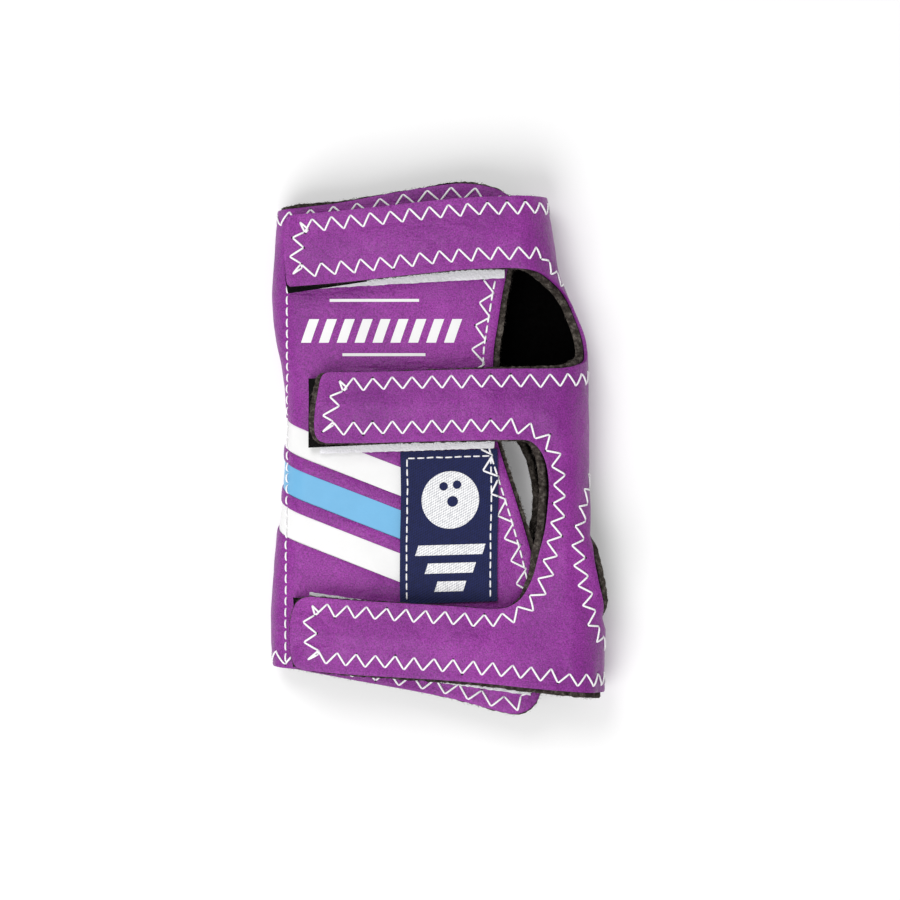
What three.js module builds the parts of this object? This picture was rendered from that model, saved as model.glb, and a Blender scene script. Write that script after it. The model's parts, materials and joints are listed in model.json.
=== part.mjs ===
// A bowling wrist glove lying on its palm side: one purple leather sheet on a black felt lining, rolled into a flat
// tube. The sheet starts as a flap on the front, turns round the left fold, runs under the hand as the back sheet,
// turns up round the right fold and ends in three straps that lie on the flap and close on it with hook-and-loop tape.
// Millimetres. +X runs across the hand to the thumb side, +Y along the forearm, +Z up from the surface it lies on.
import * as THREE from "three";

// Overall sizes
const LENGTH = 166; // along the arm, over the flap's two tabs
const WIDTH = 106; // across the widest place, over both folds
const HEIGHT = 24; // over the straps, beside the domed middle

// Layers, from the outside in
const LEATHER = 1.2;
const FELT = 2.4;
const TAPE = 1.2; // hook tape and loop tape alike
const SEAM = 0.25; // clearance between two layers

// Straps: width across each one
const TOP_STRAP = 22.3;
const MIDDLE_STRAP = 22.1;
const BOTTOM_STRAP = 23.1;

// Tape patches: height across the strap
const LOOP_TAPE = 22.4;
const HOOK_TAPE = 21.6;

// Holes in the sheet
const THUMB_HOLE_AROUND = 25; // round the fold
const THUMB_HOLE_ALONG = 48;
const THUMB_HOLE_TILT = 16; // degrees that its upper end leans towards the palm
const THUMB_HOLE_DROP = 4.6; // its centre lies this far round the fold from the widest line, towards the palm
const THUMB_HOLE_POUT = 2.5; // how far its palm side stands out past the fold
const THUMB_LIP_SPREAD = 24; // how much its front side is flattened: the growth of the fold's radius there
const PALM_OPENING_WIDTH = 36;
const PALM_OPENING_LENGTH = 54;

// Inlaid stripes on the flap
const STRIPE_WIDTH = 8.3;
const STRIPE_PITCH = 12.2; // from one stripe's middle line to the next
const STRIPE_SLANT = 20.6; // degrees down towards the thumb side
const STRIPE_THICKNESS = 0.6;
const STRIPE_CLEARANCE = 0.3; // between a stripe and the leather beside it

// Woven label on the flap
const LABEL_WIDTH = 30.4;
const LABEL_LENGTH = 47.6;
const LABEL_THICKNESS = 0.6;

// Softness of the lying glove
const DOME = 0.1; // share of height that the middle stands above the folds
const STRAP_CAMBER = 0.8; // how far a strap's middle line stands above its edges
const END_FLARE = 2; // how far the bottom strap's free edge lifts near the thumb side
const FLARE_REACH = 14; // how far in from that edge the lift starts

// Fineness of the facets
const OUTLINE_STEP = 4.2;
const FLAP_EDGE_STEP = 6.72;
const OPENING_STEP = 3.36;
const TIP_STEP = 2.1;
const FOLD_FACETS = 9;
const FRONT_STEP = 11; // between bends across the front
const BAND = 8.3; // between bends along the arm
const HOLE_SIDES = 22;
const EDGE_PIECES = 6; // along a strap's free edge
const LIP_BANDS = 8; // along the thumb hole's front lip

// Sizes worked out from those above
const WALL = LEATHER + SEAM + FELT;
const FLAP_HEIGHT = HEIGHT - WALL - 2 * TAPE - 3 * SEAM;
const halfLength = LENGTH / 2;
const halfWidth = WIDTH / 2;

// Where the folds run, as seen from above. Columns: y as a share of half the length, x as a share of half the width.
const THUMB_SIDE = [
  { y: -1.0, x: 0.99 },
  { y: -0.75, x: 0.992 },
  { y: -0.66, x: 1.0 },
  { y: -0.58, x: 1.01 },
  { y: -0.49, x: 0.988 },
  { y: -0.4, x: 0.952 },
  { y: -0.3, x: 0.93 },
  { y: -0.18, x: 0.904 },
  { y: 0.0, x: 0.897 },
  { y: 0.26, x: 0.892 },
  { y: 0.41, x: 0.877 },
  { y: 0.52, x: 0.815 },
  { y: 0.64, x: 0.73 },
  { y: 0.78, x: 0.687 },
  { y: 1.0, x: 0.64 },
];
const LITTLE_FINGER_SIDE = [
  { y: -1.0, x: 0.975 },
  { y: -0.81, x: 0.99 },
  { y: -0.65, x: 1.0 },
  { y: -0.37, x: 0.97 },
  { y: -0.17, x: 0.938 },
  { y: 0.0, x: 0.92 },
  { y: 0.14, x: 0.909 },
  { y: 0.28, x: 0.927 },
  { y: 0.41, x: 0.966 },
  { y: 0.55, x: 0.989 },
  { y: 0.75, x: 0.975 },
  { y: 1.0, x: 0.955 },
];

// A smooth function through a table's rows.
function through(rows, key, value) {
  const line = new THREE.CubicInterpolant(
    rows.map((row) => row[key]),
    rows.map((row) => row[value]),
    1,
  );
  return (at) => line.evaluate(at)[0];
}

const thumbShare = through(THUMB_SIDE, "y", "x");
const fingerShare = through(LITTLE_FINGER_SIDE, "y", "x");
const sides = {
  right: { sign: 1, radius: HEIGHT / 2, reach: (y) => halfWidth * thumbShare(y / halfLength) },
  left: { sign: -1, radius: FLAP_HEIGHT / 2, reach: (y) => halfWidth * fingerShare(y / halfLength) },
};
for (const side of Object.values(sides)) {
  side.back = halfWidth - side.radius; // pattern length of the flat back on this side
  side.foldEnd = side.back + Math.PI * side.radius; // where the pattern comes off the fold on the front
}

// The flat pattern. u runs along the rolled sheet from the middle of the back: positive round the thumb side to the
// straps, negative round the little finger side to the flap. v is y. w is the depth below the leather's outer face.

// The pattern point that lies at (x, y) of the upper half, as seen from above.
function seen(side, x, y) {
  const middle = side.reach(y) - side.radius;
  const past = Math.min((side.sign * x - middle) / side.radius, 1);
  const along = past < 0 ? side.foldEnd - past * side.radius : side.foldEnd - side.radius * Math.asin(past);
  return new THREE.Vector2(side.sign * along, y);
}

// The pattern point that lies at (x, y) of the flat back.
function under(x, y) {
  const side = x < 0 ? sides.left : sides.right;
  return new THREE.Vector2((x * side.back) / (side.reach(y) - side.radius), y);
}

// Straps, from the tip to the thumb side. Columns: x as a share of half the width, y of the strap's middle line as a
// share of half the length.
const STRAPS = {
  top: {
    width: TOP_STRAP,
    rows: [
      { x: -0.9, y: 0.741 },
      { x: -0.6, y: 0.756 },
      { x: -0.145, y: 0.787 },
      { x: 0.14, y: 0.805 },
      { x: 0.41, y: 0.812 },
      { x: 1.0, y: 0.815 },
    ],
  },
  middle: {
    width: MIDDLE_STRAP,
    rows: [
      { x: -0.74, y: 0.154 },
      { x: -0.4, y: 0.155 },
      { x: -0.1, y: 0.16 },
      { x: 0.3, y: 0.166 },
      { x: 1.0, y: 0.167 },
    ],
  },
  bottom: {
    width: BOTTOM_STRAP,
    rows: [
      { x: -0.87, y: -0.686 },
      { x: -0.55, y: -0.705 },
      { x: -0.26, y: -0.716 },
      { x: 0.07, y: -0.728 },
      { x: 0.3, y: -0.74 },
      { x: 0.52, y: -0.755 },
      { x: 1.0, y: -0.782 },
    ],
  },
};
for (const strap of Object.values(STRAPS)) {
  const share = through(strap.rows, "x", "y");
  strap.middleLine = (x) => halfLength * share(x / halfWidth);
  strap.edge = (x, half) => strap.middleLine(x) + half * strap.width;
}

// The ends of the straps. Columns: x as a share of half the width, across as a share of the strap's width up from its
// middle line, proud as how far the felt shows beyond the leather, as a share of the felt's thickness.
const TOP_TIP = [
  { x: -0.853, across: 0.5, proud: 0 },
  { x: -0.886, across: 0.46, proud: 0 },
  { x: -0.9, across: 0.32, proud: 0 },
  { x: -0.906, across: 0.05, proud: 0 },
  { x: -0.898, across: -0.2, proud: 0 },
  { x: -0.89, across: -0.43, proud: 0 },
  { x: -0.884, across: -0.475, proud: 0 },
  { x: -0.87, across: -0.5, proud: 0 },
];
const MIDDLE_TIP = [
  { x: -0.634, across: 0.5, proud: 0 },
  { x: -0.668, across: 0.48, proud: 0.2 },
  { x: -0.687, across: 0.42, proud: 0.5 },
  { x: -0.702, across: 0.26, proud: 0.7 },
  { x: -0.72, across: 0, proud: 0.72 },
  { x: -0.727, across: -0.22, proud: 0.7 },
  { x: -0.722, across: -0.37, proud: 0.6 },
  { x: -0.7, across: -0.46, proud: 0.4 },
  { x: -0.66, across: -0.5, proud: 0.2 },
];
const BOTTOM_TIP = [
  { x: -0.75, across: 0.5, proud: 0.1 },
  { x: -0.795, across: 0.47, proud: 0.15 },
  { x: -0.835, across: 0.39, proud: 0.15 },
  { x: -0.86, across: 0.24, proud: 0.1 },
  { x: -0.87, across: 0, proud: 0.1 },
  { x: -0.868, across: -0.22, proud: 0.1 },
  { x: -0.855, across: -0.39, proud: 0.1 },
  { x: -0.83, across: -0.47, proud: 0.1 },
  { x: -0.79, across: -0.5, proud: 0.05 },
];

// The openings between the straps. Columns: x as a share of half the width, up as a share of the gap between the
// straps, from the lower strap's edge to the upper one's, and proud as above.
const UPPER_OPENING = [
  { x: 0.41, up: 1.0, proud: 0.1 },
  { x: 0.52, up: 0.985, proud: 0.3 },
  { x: 0.61, up: 0.945, proud: 0.8 },
  { x: 0.69, up: 0.86, proud: 0.9 },
  { x: 0.755, up: 0.75, proud: 0.9 },
  { x: 0.815, up: 0.58, proud: 0.9 },
  { x: 0.857, up: 0.4, proud: 0.9 },
  { x: 0.873, up: 0.23, proud: 0.9 },
  { x: 0.86, up: 0.11, proud: 0.8 },
  { x: 0.815, up: 0.04, proud: 0.7 },
  { x: 0.74, up: 0.008, proud: 0.45 },
  { x: 0.63, up: 0.0, proud: 0.35 },
];
const LOWER_OPENING = [
  { x: 0.48, up: 1.0, proud: 0.2 },
  { x: 0.535, up: 0.993, proud: 0.4 },
  { x: 0.59, up: 0.95, proud: 0.9 },
  { x: 0.631, up: 0.87, proud: 1.2 },
  { x: 0.65, up: 0.73, proud: 1.3 },
  { x: 0.638, up: 0.57, proud: 1.2 },
  { x: 0.611, up: 0.42, proud: 1.0 },
  { x: 0.575, up: 0.28, proud: 0.8 },
  { x: 0.533, up: 0.16, proud: 0.5 },
  { x: 0.475, up: 0.07, proud: 0.2 },
  { x: 0.4, up: 0.02, proud: 0 },
  { x: 0.3, up: 0.0, proud: 0 },
];

// The flap. Columns: x as a share of half the width, y as a share of half the length, and proud as above.
const FLAP_TOP = [
  { x: -0.84, y: 0.908, proud: 0.55 },
  { x: -0.585, y: 0.928, proud: 0.3 },
  { x: -0.29, y: 0.963, proud: 0.1 },
  { x: -0.04, y: 0.989, proud: 0.15 },
  { x: 0.12, y: 1.0, proud: 0.3 },
  { x: 0.26, y: 0.993, proud: 0.25 },
  { x: 0.37, y: 0.972, proud: 0.15 },
  { x: 0.435, y: 0.94, proud: 0.1 },
  { x: 0.457, y: 0.9, proud: 0.1 },
];
const FLAP_EDGE = [
  { x: 0.457, y: 0.9, proud: 0.1 },
  { x: 0.435, y: 0.78, proud: 0.3 },
  { x: 0.4, y: 0.65, proud: 0.75 },
  { x: 0.357, y: 0.495, proud: 0.8 },
  { x: 0.325, y: 0.34, proud: 0.8 },
  { x: 0.312, y: 0.2, proud: 0.7 },
  { x: 0.33, y: 0.09, proud: 0.6 },
  { x: 0.37, y: -0.02, proud: 0.55 },
  { x: 0.44, y: -0.16, proud: 0.55 },
  { x: 0.512, y: -0.31, proud: 0.6 },
  { x: 0.57, y: -0.45, proud: 0.6 },
  { x: 0.605, y: -0.58, proud: 0.3 },
  { x: 0.618, y: -0.75, proud: 0.1 },
  { x: 0.615, y: -0.89, proud: 0.1 },
];
const FLAP_BOTTOM = [
  { x: 0.615, y: -0.89, proud: 0.1 },
  { x: 0.585, y: -0.95, proud: 0.15 },
  { x: 0.53, y: -0.985, proud: 0.2 },
  { x: 0.46, y: -1.0, proud: 0.2 },
  { x: 0.36, y: -0.99, proud: 0.15 },
  { x: 0.2, y: -0.962, proud: 0.1 },
  { x: 0.05, y: -0.938, proud: 0.05 },
  { x: -0.2, y: -0.907, proud: 0 },
  { x: -0.55, y: -0.867, proud: 0 },
  { x: -0.84, y: -0.832, proud: 0 },
];

// The back sheet's ends, as shares of half the length, at the little finger side and the thumb side.
const BACK_TOP = { left: 0.895, right: 0.951 };
const BACK_BOTTOM = { left: -0.812, right: -0.922 };

// Points every step or so along a smooth curve through rows that have been placed in the pattern, z holding proud.
function run(points, step = OUTLINE_STEP) {
  const curve = new THREE.CatmullRomCurve3(points, false, "centripetal");
  return curve.getSpacedPoints(Math.max(2, Math.round(curve.getLength() / step)));
}

// One pattern point with the felt's proud length in z.
const placed = (point, proud) => new THREE.Vector3(point.x, point.y, proud * FELT);

const flapRun = (rows, step) =>
  run(
    rows.map((row) => placed(seen(sides.left, row.x * halfWidth, row.y * halfLength), row.proud)),
    step,
  );

const tipRun = (strap, rows) =>
  run(
    rows.map((row) => {
      const x = row.x * halfWidth;
      return placed(seen(sides.right, x, strap.edge(x, row.across)), row.proud);
    }),
    TIP_STEP,
  );

const openingRun = (upper, lower, rows) =>
  run(
    rows.map((row) => {
      const x = row.x * halfWidth;
      const low = lower.edge(x, 0.5);
      return placed(seen(sides.right, x, low + row.up * (upper.edge(x, -0.5) - low)), row.proud);
    }),
    OPENING_STEP,
  );

// One point of a strap's edge, at a share of half the width.
const strapPoint = (strap, half, share, proud) =>
  placed(seen(sides.right, share * halfWidth, strap.edge(share * halfWidth, half)), proud);

// One long edge of a strap between two such shares, without its ends.
function strapEdge(strap, half, from, to, proudFrom, proudTo) {
  const { lerp } = THREE.MathUtils;
  return Array.from({ length: EDGE_PIECES - 1 }, (_, i) => {
    const share = (i + 1) / EDGE_PIECES;
    return strapPoint(strap, half, lerp(from, to, share), lerp(proudFrom, proudTo, share));
  });
}

// The whole sheet's outline: up the flap's edge, over the top, round the straps and openings, and back underneath.
const TOP_EDGE_START = 0.45; // where the top strap's free edge comes off the fold, as a share of half the width
const BOTTOM_EDGE_END = 0.985; // how far the bottom strap's free edge runs out over the fold, the same way
const BOTTOM_EDGE_FELT = 0.75; // proud share of that edge at the thumb side
const { top, middle, bottom } = STRAPS;
const outline = [
  ...flapRun([...FLAP_EDGE].reverse(), FLAP_EDGE_STEP).slice(1),
  ...flapRun([...FLAP_TOP].reverse()).slice(1),
  placed(new THREE.Vector2(-sides.left.back, BACK_TOP.left * halfLength), 0.1),
  placed(new THREE.Vector2(sides.right.back, BACK_TOP.right * halfLength), 0),
  placed(new THREE.Vector2(sides.right.foldEnd, top.edge(sides.right.reach(halfLength), 0.5)), 0),
  ...strapEdge(top, 0.5, TOP_EDGE_START, TOP_TIP[0].x, 0, 0),
  ...tipRun(top, TOP_TIP),
  ...strapEdge(top, -0.5, TOP_TIP.at(-1).x, UPPER_OPENING[0].x, 0, 0.1),
  ...openingRun(top, middle, UPPER_OPENING),
  ...strapEdge(middle, 0.5, UPPER_OPENING.at(-1).x, MIDDLE_TIP[0].x, 0.35, 0),
  ...tipRun(middle, MIDDLE_TIP),
  ...strapEdge(middle, -0.5, MIDDLE_TIP.at(-1).x, LOWER_OPENING[0].x, 0.2, 0.2),
  ...openingRun(middle, bottom, LOWER_OPENING),
  ...strapEdge(bottom, 0.5, LOWER_OPENING.at(-1).x, BOTTOM_TIP[0].x, 0, 0.1),
  ...tipRun(bottom, BOTTOM_TIP),
  ...strapEdge(bottom, -0.5, BOTTOM_TIP.at(-1).x, BOTTOM_EDGE_END, 0.1, BOTTOM_EDGE_FELT),
  strapPoint(bottom, -0.5, BOTTOM_EDGE_END, BOTTOM_EDGE_FELT),
  placed(new THREE.Vector2(sides.right.back, BACK_BOTTOM.right * halfLength), 0.1),
  placed(new THREE.Vector2(-sides.left.back, BACK_BOTTOM.left * halfLength), 0),
  ...flapRun([...FLAP_BOTTOM].reverse()),
];

// An oval hole in the pattern. Every point holds the felt's proud length, which goes from one side's to the other's.
function oval(place, width, length, proud, tilt = 0) {
  return Array.from({ length: HOLE_SIDES }, (_, i) => {
    const turn = (2 * Math.PI * i) / HOLE_SIDES;
    const point = new THREE.Vector2((width / 2) * Math.cos(turn), (length / 2) * Math.sin(turn));
    point.rotateAround(new THREE.Vector2(), THREE.MathUtils.degToRad(tilt));
    const front = (1 + Math.cos(turn)) / 2;
    return placed(place(point.x, point.y), THREE.MathUtils.lerp(proud.back, proud.front, front));
  });
}

const THUMB_HOLE_Y = -0.398; // share of half the length
const PALM_OPENING = { x: 0.245, y: -0.193 }; // its centre, as shares of half the width and half the length
// How far the felt shows inside the holes, on their palm side and on the side towards the front, as shares of its
// thickness
const THUMB_HOLE_FELT = { back: 0.5, front: 1.1 };
const PALM_OPENING_FELT = { back: 0.5, front: 0.5 };
const holes = [
  oval(
    (du, dv) =>
      new THREE.Vector2(
        sides.right.back + (Math.PI * sides.right.radius) / 2 - THUMB_HOLE_DROP + du,
        THUMB_HOLE_Y * halfLength + dv,
      ),
    THUMB_HOLE_AROUND,
    THUMB_HOLE_ALONG,
    THUMB_HOLE_FELT,
    THUMB_HOLE_TILT,
  ),
  oval(
    (dx, dy) => under(PALM_OPENING.x * halfWidth + dx, PALM_OPENING.y * halfLength + dy),
    PALM_OPENING_WIDTH,
    PALM_OPENING_LENGTH,
    PALM_OPENING_FELT,
  ),
];

// The felt's outline: each point moved out of the leather by its proud length.
function grown(points) {
  const turning = Math.sign(THREE.ShapeUtils.area(points));
  return points.map((point, i) => {
    const before = points.at(i - 1);
    const after = points[(i + 1) % points.length];
    const across = new THREE.Vector2(after.y - before.y, before.x - after.x).normalize();
    return new THREE.Vector3(
      point.x + turning * point.z * across.x,
      point.y + turning * point.z * across.y,
      0,
    );
  });
}
const shrunk = (points) => grown(points.map((p) => new THREE.Vector3(p.x, p.y, -p.z)));

// Where each softening sets in or fades towards the thumb side, as shares of half the width
const CAMBER_FADES = { from: 0.2, to: 0.6 };
const FLARE_SETS_IN = { from: -0.3, to: 0.8 };
const POUT_SETS_IN = { from: 0.6, to: 0.9 };
const FLARE_EDGE = -0.1; // how near the strap's edge the whole lift is reached, as a share of its reach

// Lying softly: the front is domed, the straps are cambered, the bottom strap's free edge lifts near the thumb side,
// and the palm side of the thumb hole stands out.
function softened(point) {
  const { x, y, z } = point;
  const { smoothstep } = THREE.MathUtils;
  const towardsThumb = (range) => smoothstep(x / halfWidth, range.from, range.to);
  const inside = Math.max(0, 1 - (x / halfWidth) ** 2);
  let lift = z * DOME * inside;
  const strapTop = smoothstep(z, FLAP_HEIGHT, HEIGHT);
  const fade = 1 - towardsThumb(CAMBER_FADES);
  for (const strap of Object.values(STRAPS)) {
    const offset = (2 * (y - strap.middleLine(x))) / strap.width;
    lift += STRAP_CAMBER * strapTop * fade * Math.max(0, 1 - offset ** 2);
  }
  const strapBody = smoothstep(z, HEIGHT - WALL - SEAM - TAPE, HEIGHT - WALL);
  const nearEdge = 1 - smoothstep((y - bottom.edge(x, -0.5)) / FLARE_REACH, FLARE_EDGE, 1);
  lift += END_FLARE * strapBody * nearEdge * towardsThumb(FLARE_SETS_IN);
  const besideHole = Math.max(0, 1 - ((y / halfLength - THUMB_HOLE_Y) * (LENGTH / THUMB_HOLE_ALONG)) ** 2);
  const low = 1 - smoothstep(z, 0, HEIGHT / 2);
  const outwards = THUMB_HOLE_POUT * besideHole * low * towardsThumb(POUT_SETS_IN);
  return new THREE.Vector3(x + outwards, y, z + lift);
}

// The fold's radius over the thumb hole's front lip, which lies flatter. The lip's middle lies below the hole's, and it
// is shorter than the hole, both as shares of the hole's length.
const THUMB_LIP = { drop: 0.146, length: 0.56 };
const lipMiddle = THUMB_HOLE_Y * halfLength - THUMB_LIP.drop * THUMB_HOLE_ALONG;
const lipHalf = (THUMB_LIP.length * THUMB_HOLE_ALONG) / 2;
function lipRadius(side, v) {
  if (side === sides.left) return side.radius;
  return side.radius + THUMB_LIP_SPREAD * Math.max(0, 1 - ((v - lipMiddle) / lipHalf) ** 2) ** 2;
}

// The place in space of pattern point (u, v) at depth w below the leather's outer face.
function rolled(u, v, w) {
  const side = u < 0 ? sides.left : sides.right;
  const along = Math.abs(u);
  const middle = side.reach(v) - side.radius;
  if (along <= side.back) return softened(new THREE.Vector3((u / side.back) * middle, v, w));
  if (along >= side.foldEnd)
    return softened(new THREE.Vector3(side.sign * (middle - along + side.foldEnd), v, 2 * side.radius - w));
  const front = along > side.back + (Math.PI * side.radius) / 2;
  const radius = front ? lipRadius(side, v) : side.radius;
  const turn = front ? (side.foldEnd - along) / radius : (along - side.back) / radius;
  const drop = radius - (radius - w) * Math.cos(turn);
  return softened(
    new THREE.Vector3(
      side.sign * (middle + (radius - w) * Math.sin(turn)),
      v,
      front ? 2 * side.radius - drop : drop,
    ),
  );
}

// Cuts loops of pattern points along a line of constant u or v. Gives the loops below the line and those above it.
function cut(loops, axis, at) {
  const other = axis === "x" ? "y" : "x";
  const parts = [[], []];
  const crossings = [];
  const chains = [new Map(), new Map()];
  for (const loop of loops) {
    const above = loop.map((point) => Number(point[axis] > at));
    const first = above.findIndex((side, i) => side !== above.at(i - 1));
    if (first < 0) {
      parts[above[0]].push(loop);
      continue;
    }
    let chain = [];
    const opening = crossings.length;
    for (let step = 0; step < loop.length; step++) {
      const i = (first + step) % loop.length;
      const before = loop.at(i - 1);
      if (above[i] !== above.at(i - 1)) {
        const crossing = before.clone().lerp(loop[i], (at - before[axis]) / (loop[i][axis] - before[axis]));
        crossing[axis] = at;
        crossings.push(crossing);
        chain.push(crossing);
        chain = [crossing];
        chains[above[i]].set(crossing, chain);
      }
      chain.push(loop[i]);
    }
    chain.push(crossings[opening]);
  }
  crossings.sort((a, b) => a[other] - b[other]);
  const partner = new Map(crossings.map((crossing, i) => [crossing, crossings[i ^ 1]]));
  chains.forEach((side, i) => {
    for (const start of side.keys()) {
      const loop = [];
      let next = start;
      while (side.has(next)) {
        const chain = side.get(next);
        side.delete(next);
        loop.push(...chain);
        next = partner.get(chain.at(-1));
      }
      parts[i].push(loop);
    }
  });
  return parts;
}

// The slices of loops of pattern points between many such lines.
function sliced(loops, axis, lines) {
  const slices = [];
  let rest = loops;
  for (const at of lines) {
    const [below, above] = cut(rest, axis, at);
    slices.push(below);
    rest = above;
  }
  return [...slices, rest];
}

// Lines of the pattern where every panel bends: round both folds, and in steps over the front and along the arm.
const bendsAcross = [];
for (const side of Object.values(sides)) {
  for (let i = 0; i <= FOLD_FACETS; i++)
    bendsAcross.push(side.sign * THREE.MathUtils.lerp(side.back, side.foldEnd, i / FOLD_FACETS));
  for (let along = side.foldEnd + FRONT_STEP; along < side.foldEnd + WIDTH; along += FRONT_STEP)
    bendsAcross.push(side.sign * along);
}
bendsAcross.sort((a, b) => a - b);
const bands = Math.round(LENGTH / BAND);
const lipBends = Array.from({ length: LIP_BANDS + 1 }, (_, i) => lipMiddle + lipHalf * ((2 * i) / LIP_BANDS - 1));
const bendsAlong = Array.from({ length: bands - 1 }, (_, i) => LENGTH * ((i + 1) / bands - 0.5))
  .filter((at) => Math.abs(at - lipMiddle) > lipHalf + BAND / 3)
  .concat(lipBends)
  .sort((a, b) => a - b);

// One piece: loops of the pattern, the outline first and then its holes, between two depths, rolled into place.
function panel(name, material, outer, inner, ...loops) {
  const turned = loops.map((loop, i) => {
    const wanted = i === 0 ? 1 : -1;
    const flat = loop.map((p) => new THREE.Vector2(p.x, p.y));
    return Math.sign(THREE.ShapeUtils.area(flat)) === wanted ? flat : flat.reverse();
  });
  const cells = sliced(turned, "x", bendsAcross).flatMap((strip) => sliced(strip, "y", bendsAlong).flat());
  const names = new Map();
  const spots = [];
  const indexOf = (point) => {
    const name = point.x.toFixed(4) + " " + point.y.toFixed(4);
    if (!names.has(name)) names.set(name, spots.push(point) - 1);
    return names.get(name);
  };
  const face = cells.flatMap((cell) => {
    const corners = cell.map(indexOf);
    return THREE.ShapeUtils.triangulateShape(cell, []).map((triangle) => triangle.map((k) => corners[k]));
  });
  const triangles = face.filter(([a, b, c]) => a !== b && b !== c && c !== a);
  const edges = triangles.flatMap(([a, b, c]) => [
    [a, b],
    [b, c],
    [c, a],
  ]);
  const known = new Set(edges.map(String));
  const rim = edges.filter(([a, b]) => !known.has(String([b, a])));
  const count = spots.length;
  const geometry = new THREE.BufferGeometry()
    .setFromPoints([outer, inner].flatMap((depth) => spots.map((p) => rolled(p.x, p.y, depth))))
    .setIndex([
      ...triangles.flatMap(([a, b, c]) => [a, c, b]),
      ...triangles.flatMap(([a, b, c]) => [a + count, b + count, c + count]),
      ...rim.flatMap(([a, b]) => [a, b, b + count, a, b + count, a + count]),
    ]);
  geometry.computeVertexNormals();
  const mesh = new THREE.Mesh(geometry, material);
  mesh.name = name;
  return mesh;
}

const finish = (color, roughness) => new THREE.MeshStandardMaterial({ color, roughness, metalness: 0 });
const purpleLeather = finish(0x8f3596, 0.5);
const blackFelt = finish(0x1b1817, 0.95);
const whiteLoop = finish(0xe4e2ea, 0.9);
const blackHook = finish(0x0b0a0a, 0.8);
const whiteVinyl = finish(0xf6f6f4, 0.4);
const blueVinyl = finish(0x74bdec, 0.4);
const navyCloth = finish(0x14205a, 0.85);

// Stripes: slanted bands that start under the label, cross the flap and turn round the little finger side.
const STRIPE_START = -0.17; // where the stripes end under the label, as a share of half the width
const STRIPE_MIDDLE = -0.3; // height of the middle stripe there, as a share of half the length
const STRIPE_TURN = 12; // how far they run on under the glove, past the fold
const slant = THREE.MathUtils.degToRad(STRIPE_SLANT);
function stripeBand(index, clearance) {
  const start = seen(sides.left, STRIPE_START * halfWidth, STRIPE_MIDDLE * halfLength);
  const end = -(sides.left.back - STRIPE_TURN);
  const middle = start.y + ((1 - index) * STRIPE_PITCH) / Math.cos(slant);
  const half = (STRIPE_WIDTH / 2 - clearance) / Math.cos(slant);
  const rise = Math.tan(slant);
  const corners = [
    [start.x + clearance, -half],
    [end - clearance, -half],
    [end - clearance, half],
    [start.x + clearance, half],
  ];
  return corners.map(([u, across]) => new THREE.Vector3(u, middle + (u - start.x) * rise + across, 0));
}

// A four-cornered patch. Rows hold its left and right ends: x as a share of half the width, y of its middle line as a
// share of half the length.
const patch = (side, height, left, right) =>
  [
    [right, 0.5],
    [left, 0.5],
    [left, -0.5],
    [right, -0.5],
  ].map(([row, half]) => seen(side, row.x * halfWidth, row.y * halfLength + half * height));

const LOOP_ENDS = {
  top: [{ x: -0.8, y: 0.735 }, { x: 0.39, y: 0.778 }],
  middle: [{ x: -0.7, y: 0.115 }, { x: 0.33, y: 0.137 }],
  bottom: [{ x: -0.76, y: -0.675 }, { x: 0.545, y: -0.795 }],
};
const HOOK_ENDS = {
  top: [{ x: -0.885, y: 0.715 }, { x: -0.42, y: 0.7595 }],
  middle: [{ x: -0.765, y: 0.134 }, { x: -0.23, y: 0.15 }],
  bottom: [{ x: -0.857, y: -0.69 }, { x: -0.3, y: -0.71 }],
};
const LABEL_TOP = { x: 0.062, y: -0.006, tilt: 0.03 }; // middle of its upper edge, and rise of that edge per length

function labelOutline() {
  const corner = (across, down) => {
    const x = LABEL_TOP.x * halfWidth + across * LABEL_WIDTH;
    const y = LABEL_TOP.y * halfLength + across * LABEL_WIDTH * LABEL_TOP.tilt - down * LABEL_LENGTH;
    return seen(sides.left, x, y);
  };
  return [corner(0.5, 0), corner(-0.5, 0), corner(-0.5, 1), corner(0.5, 1)];
}

const glove = new THREE.Group();
glove.name = "bowling_glove";
glove.add(
  panel(
    "leather_shell",
    purpleLeather,
    0,
    LEATHER,
    outline,
    ...holes,
    ...[0, 1, 2].map((index) => stripeBand(index, 0)),
  ),
  panel("felt_lining", blackFelt, LEATHER + SEAM, WALL, grown(outline), ...holes.map(shrunk)),
);
["stripe_white_upper", "stripe_blue", "stripe_white_lower"].forEach((name, index) =>
  glove.add(
    panel(
      name,
      index === 1 ? blueVinyl : whiteVinyl,
      LEATHER - STRIPE_THICKNESS,
      LEATHER,
      stripeBand(index, STRIPE_CLEARANCE),
    ),
  ),
);
for (const strap of Object.keys(STRAPS))
  glove.add(
    panel(
      "loop_patch_" + strap,
      whiteLoop,
      -SEAM - TAPE,
      -SEAM,
      patch(sides.left, LOOP_TAPE, ...LOOP_ENDS[strap]),
    ),
    panel(
      "hook_patch_" + strap,
      blackHook,
      WALL + SEAM,
      WALL + SEAM + TAPE,
      patch(sides.right, HOOK_TAPE, ...HOOK_ENDS[strap]),
    ),
  );
glove.add(panel("woven_label", navyCloth, -SEAM - LABEL_THICKNESS, -SEAM, labelOutline()));

// The frame: the middle of the glove's box, on the surface that it lies on.
const box = new THREE.Box3().setFromObject(glove);
const centre = box.getCenter(new THREE.Vector3());
glove.position.set(-centre.x, -centre.y, -box.min.z);

export default glove;
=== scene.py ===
import json
import math

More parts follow.
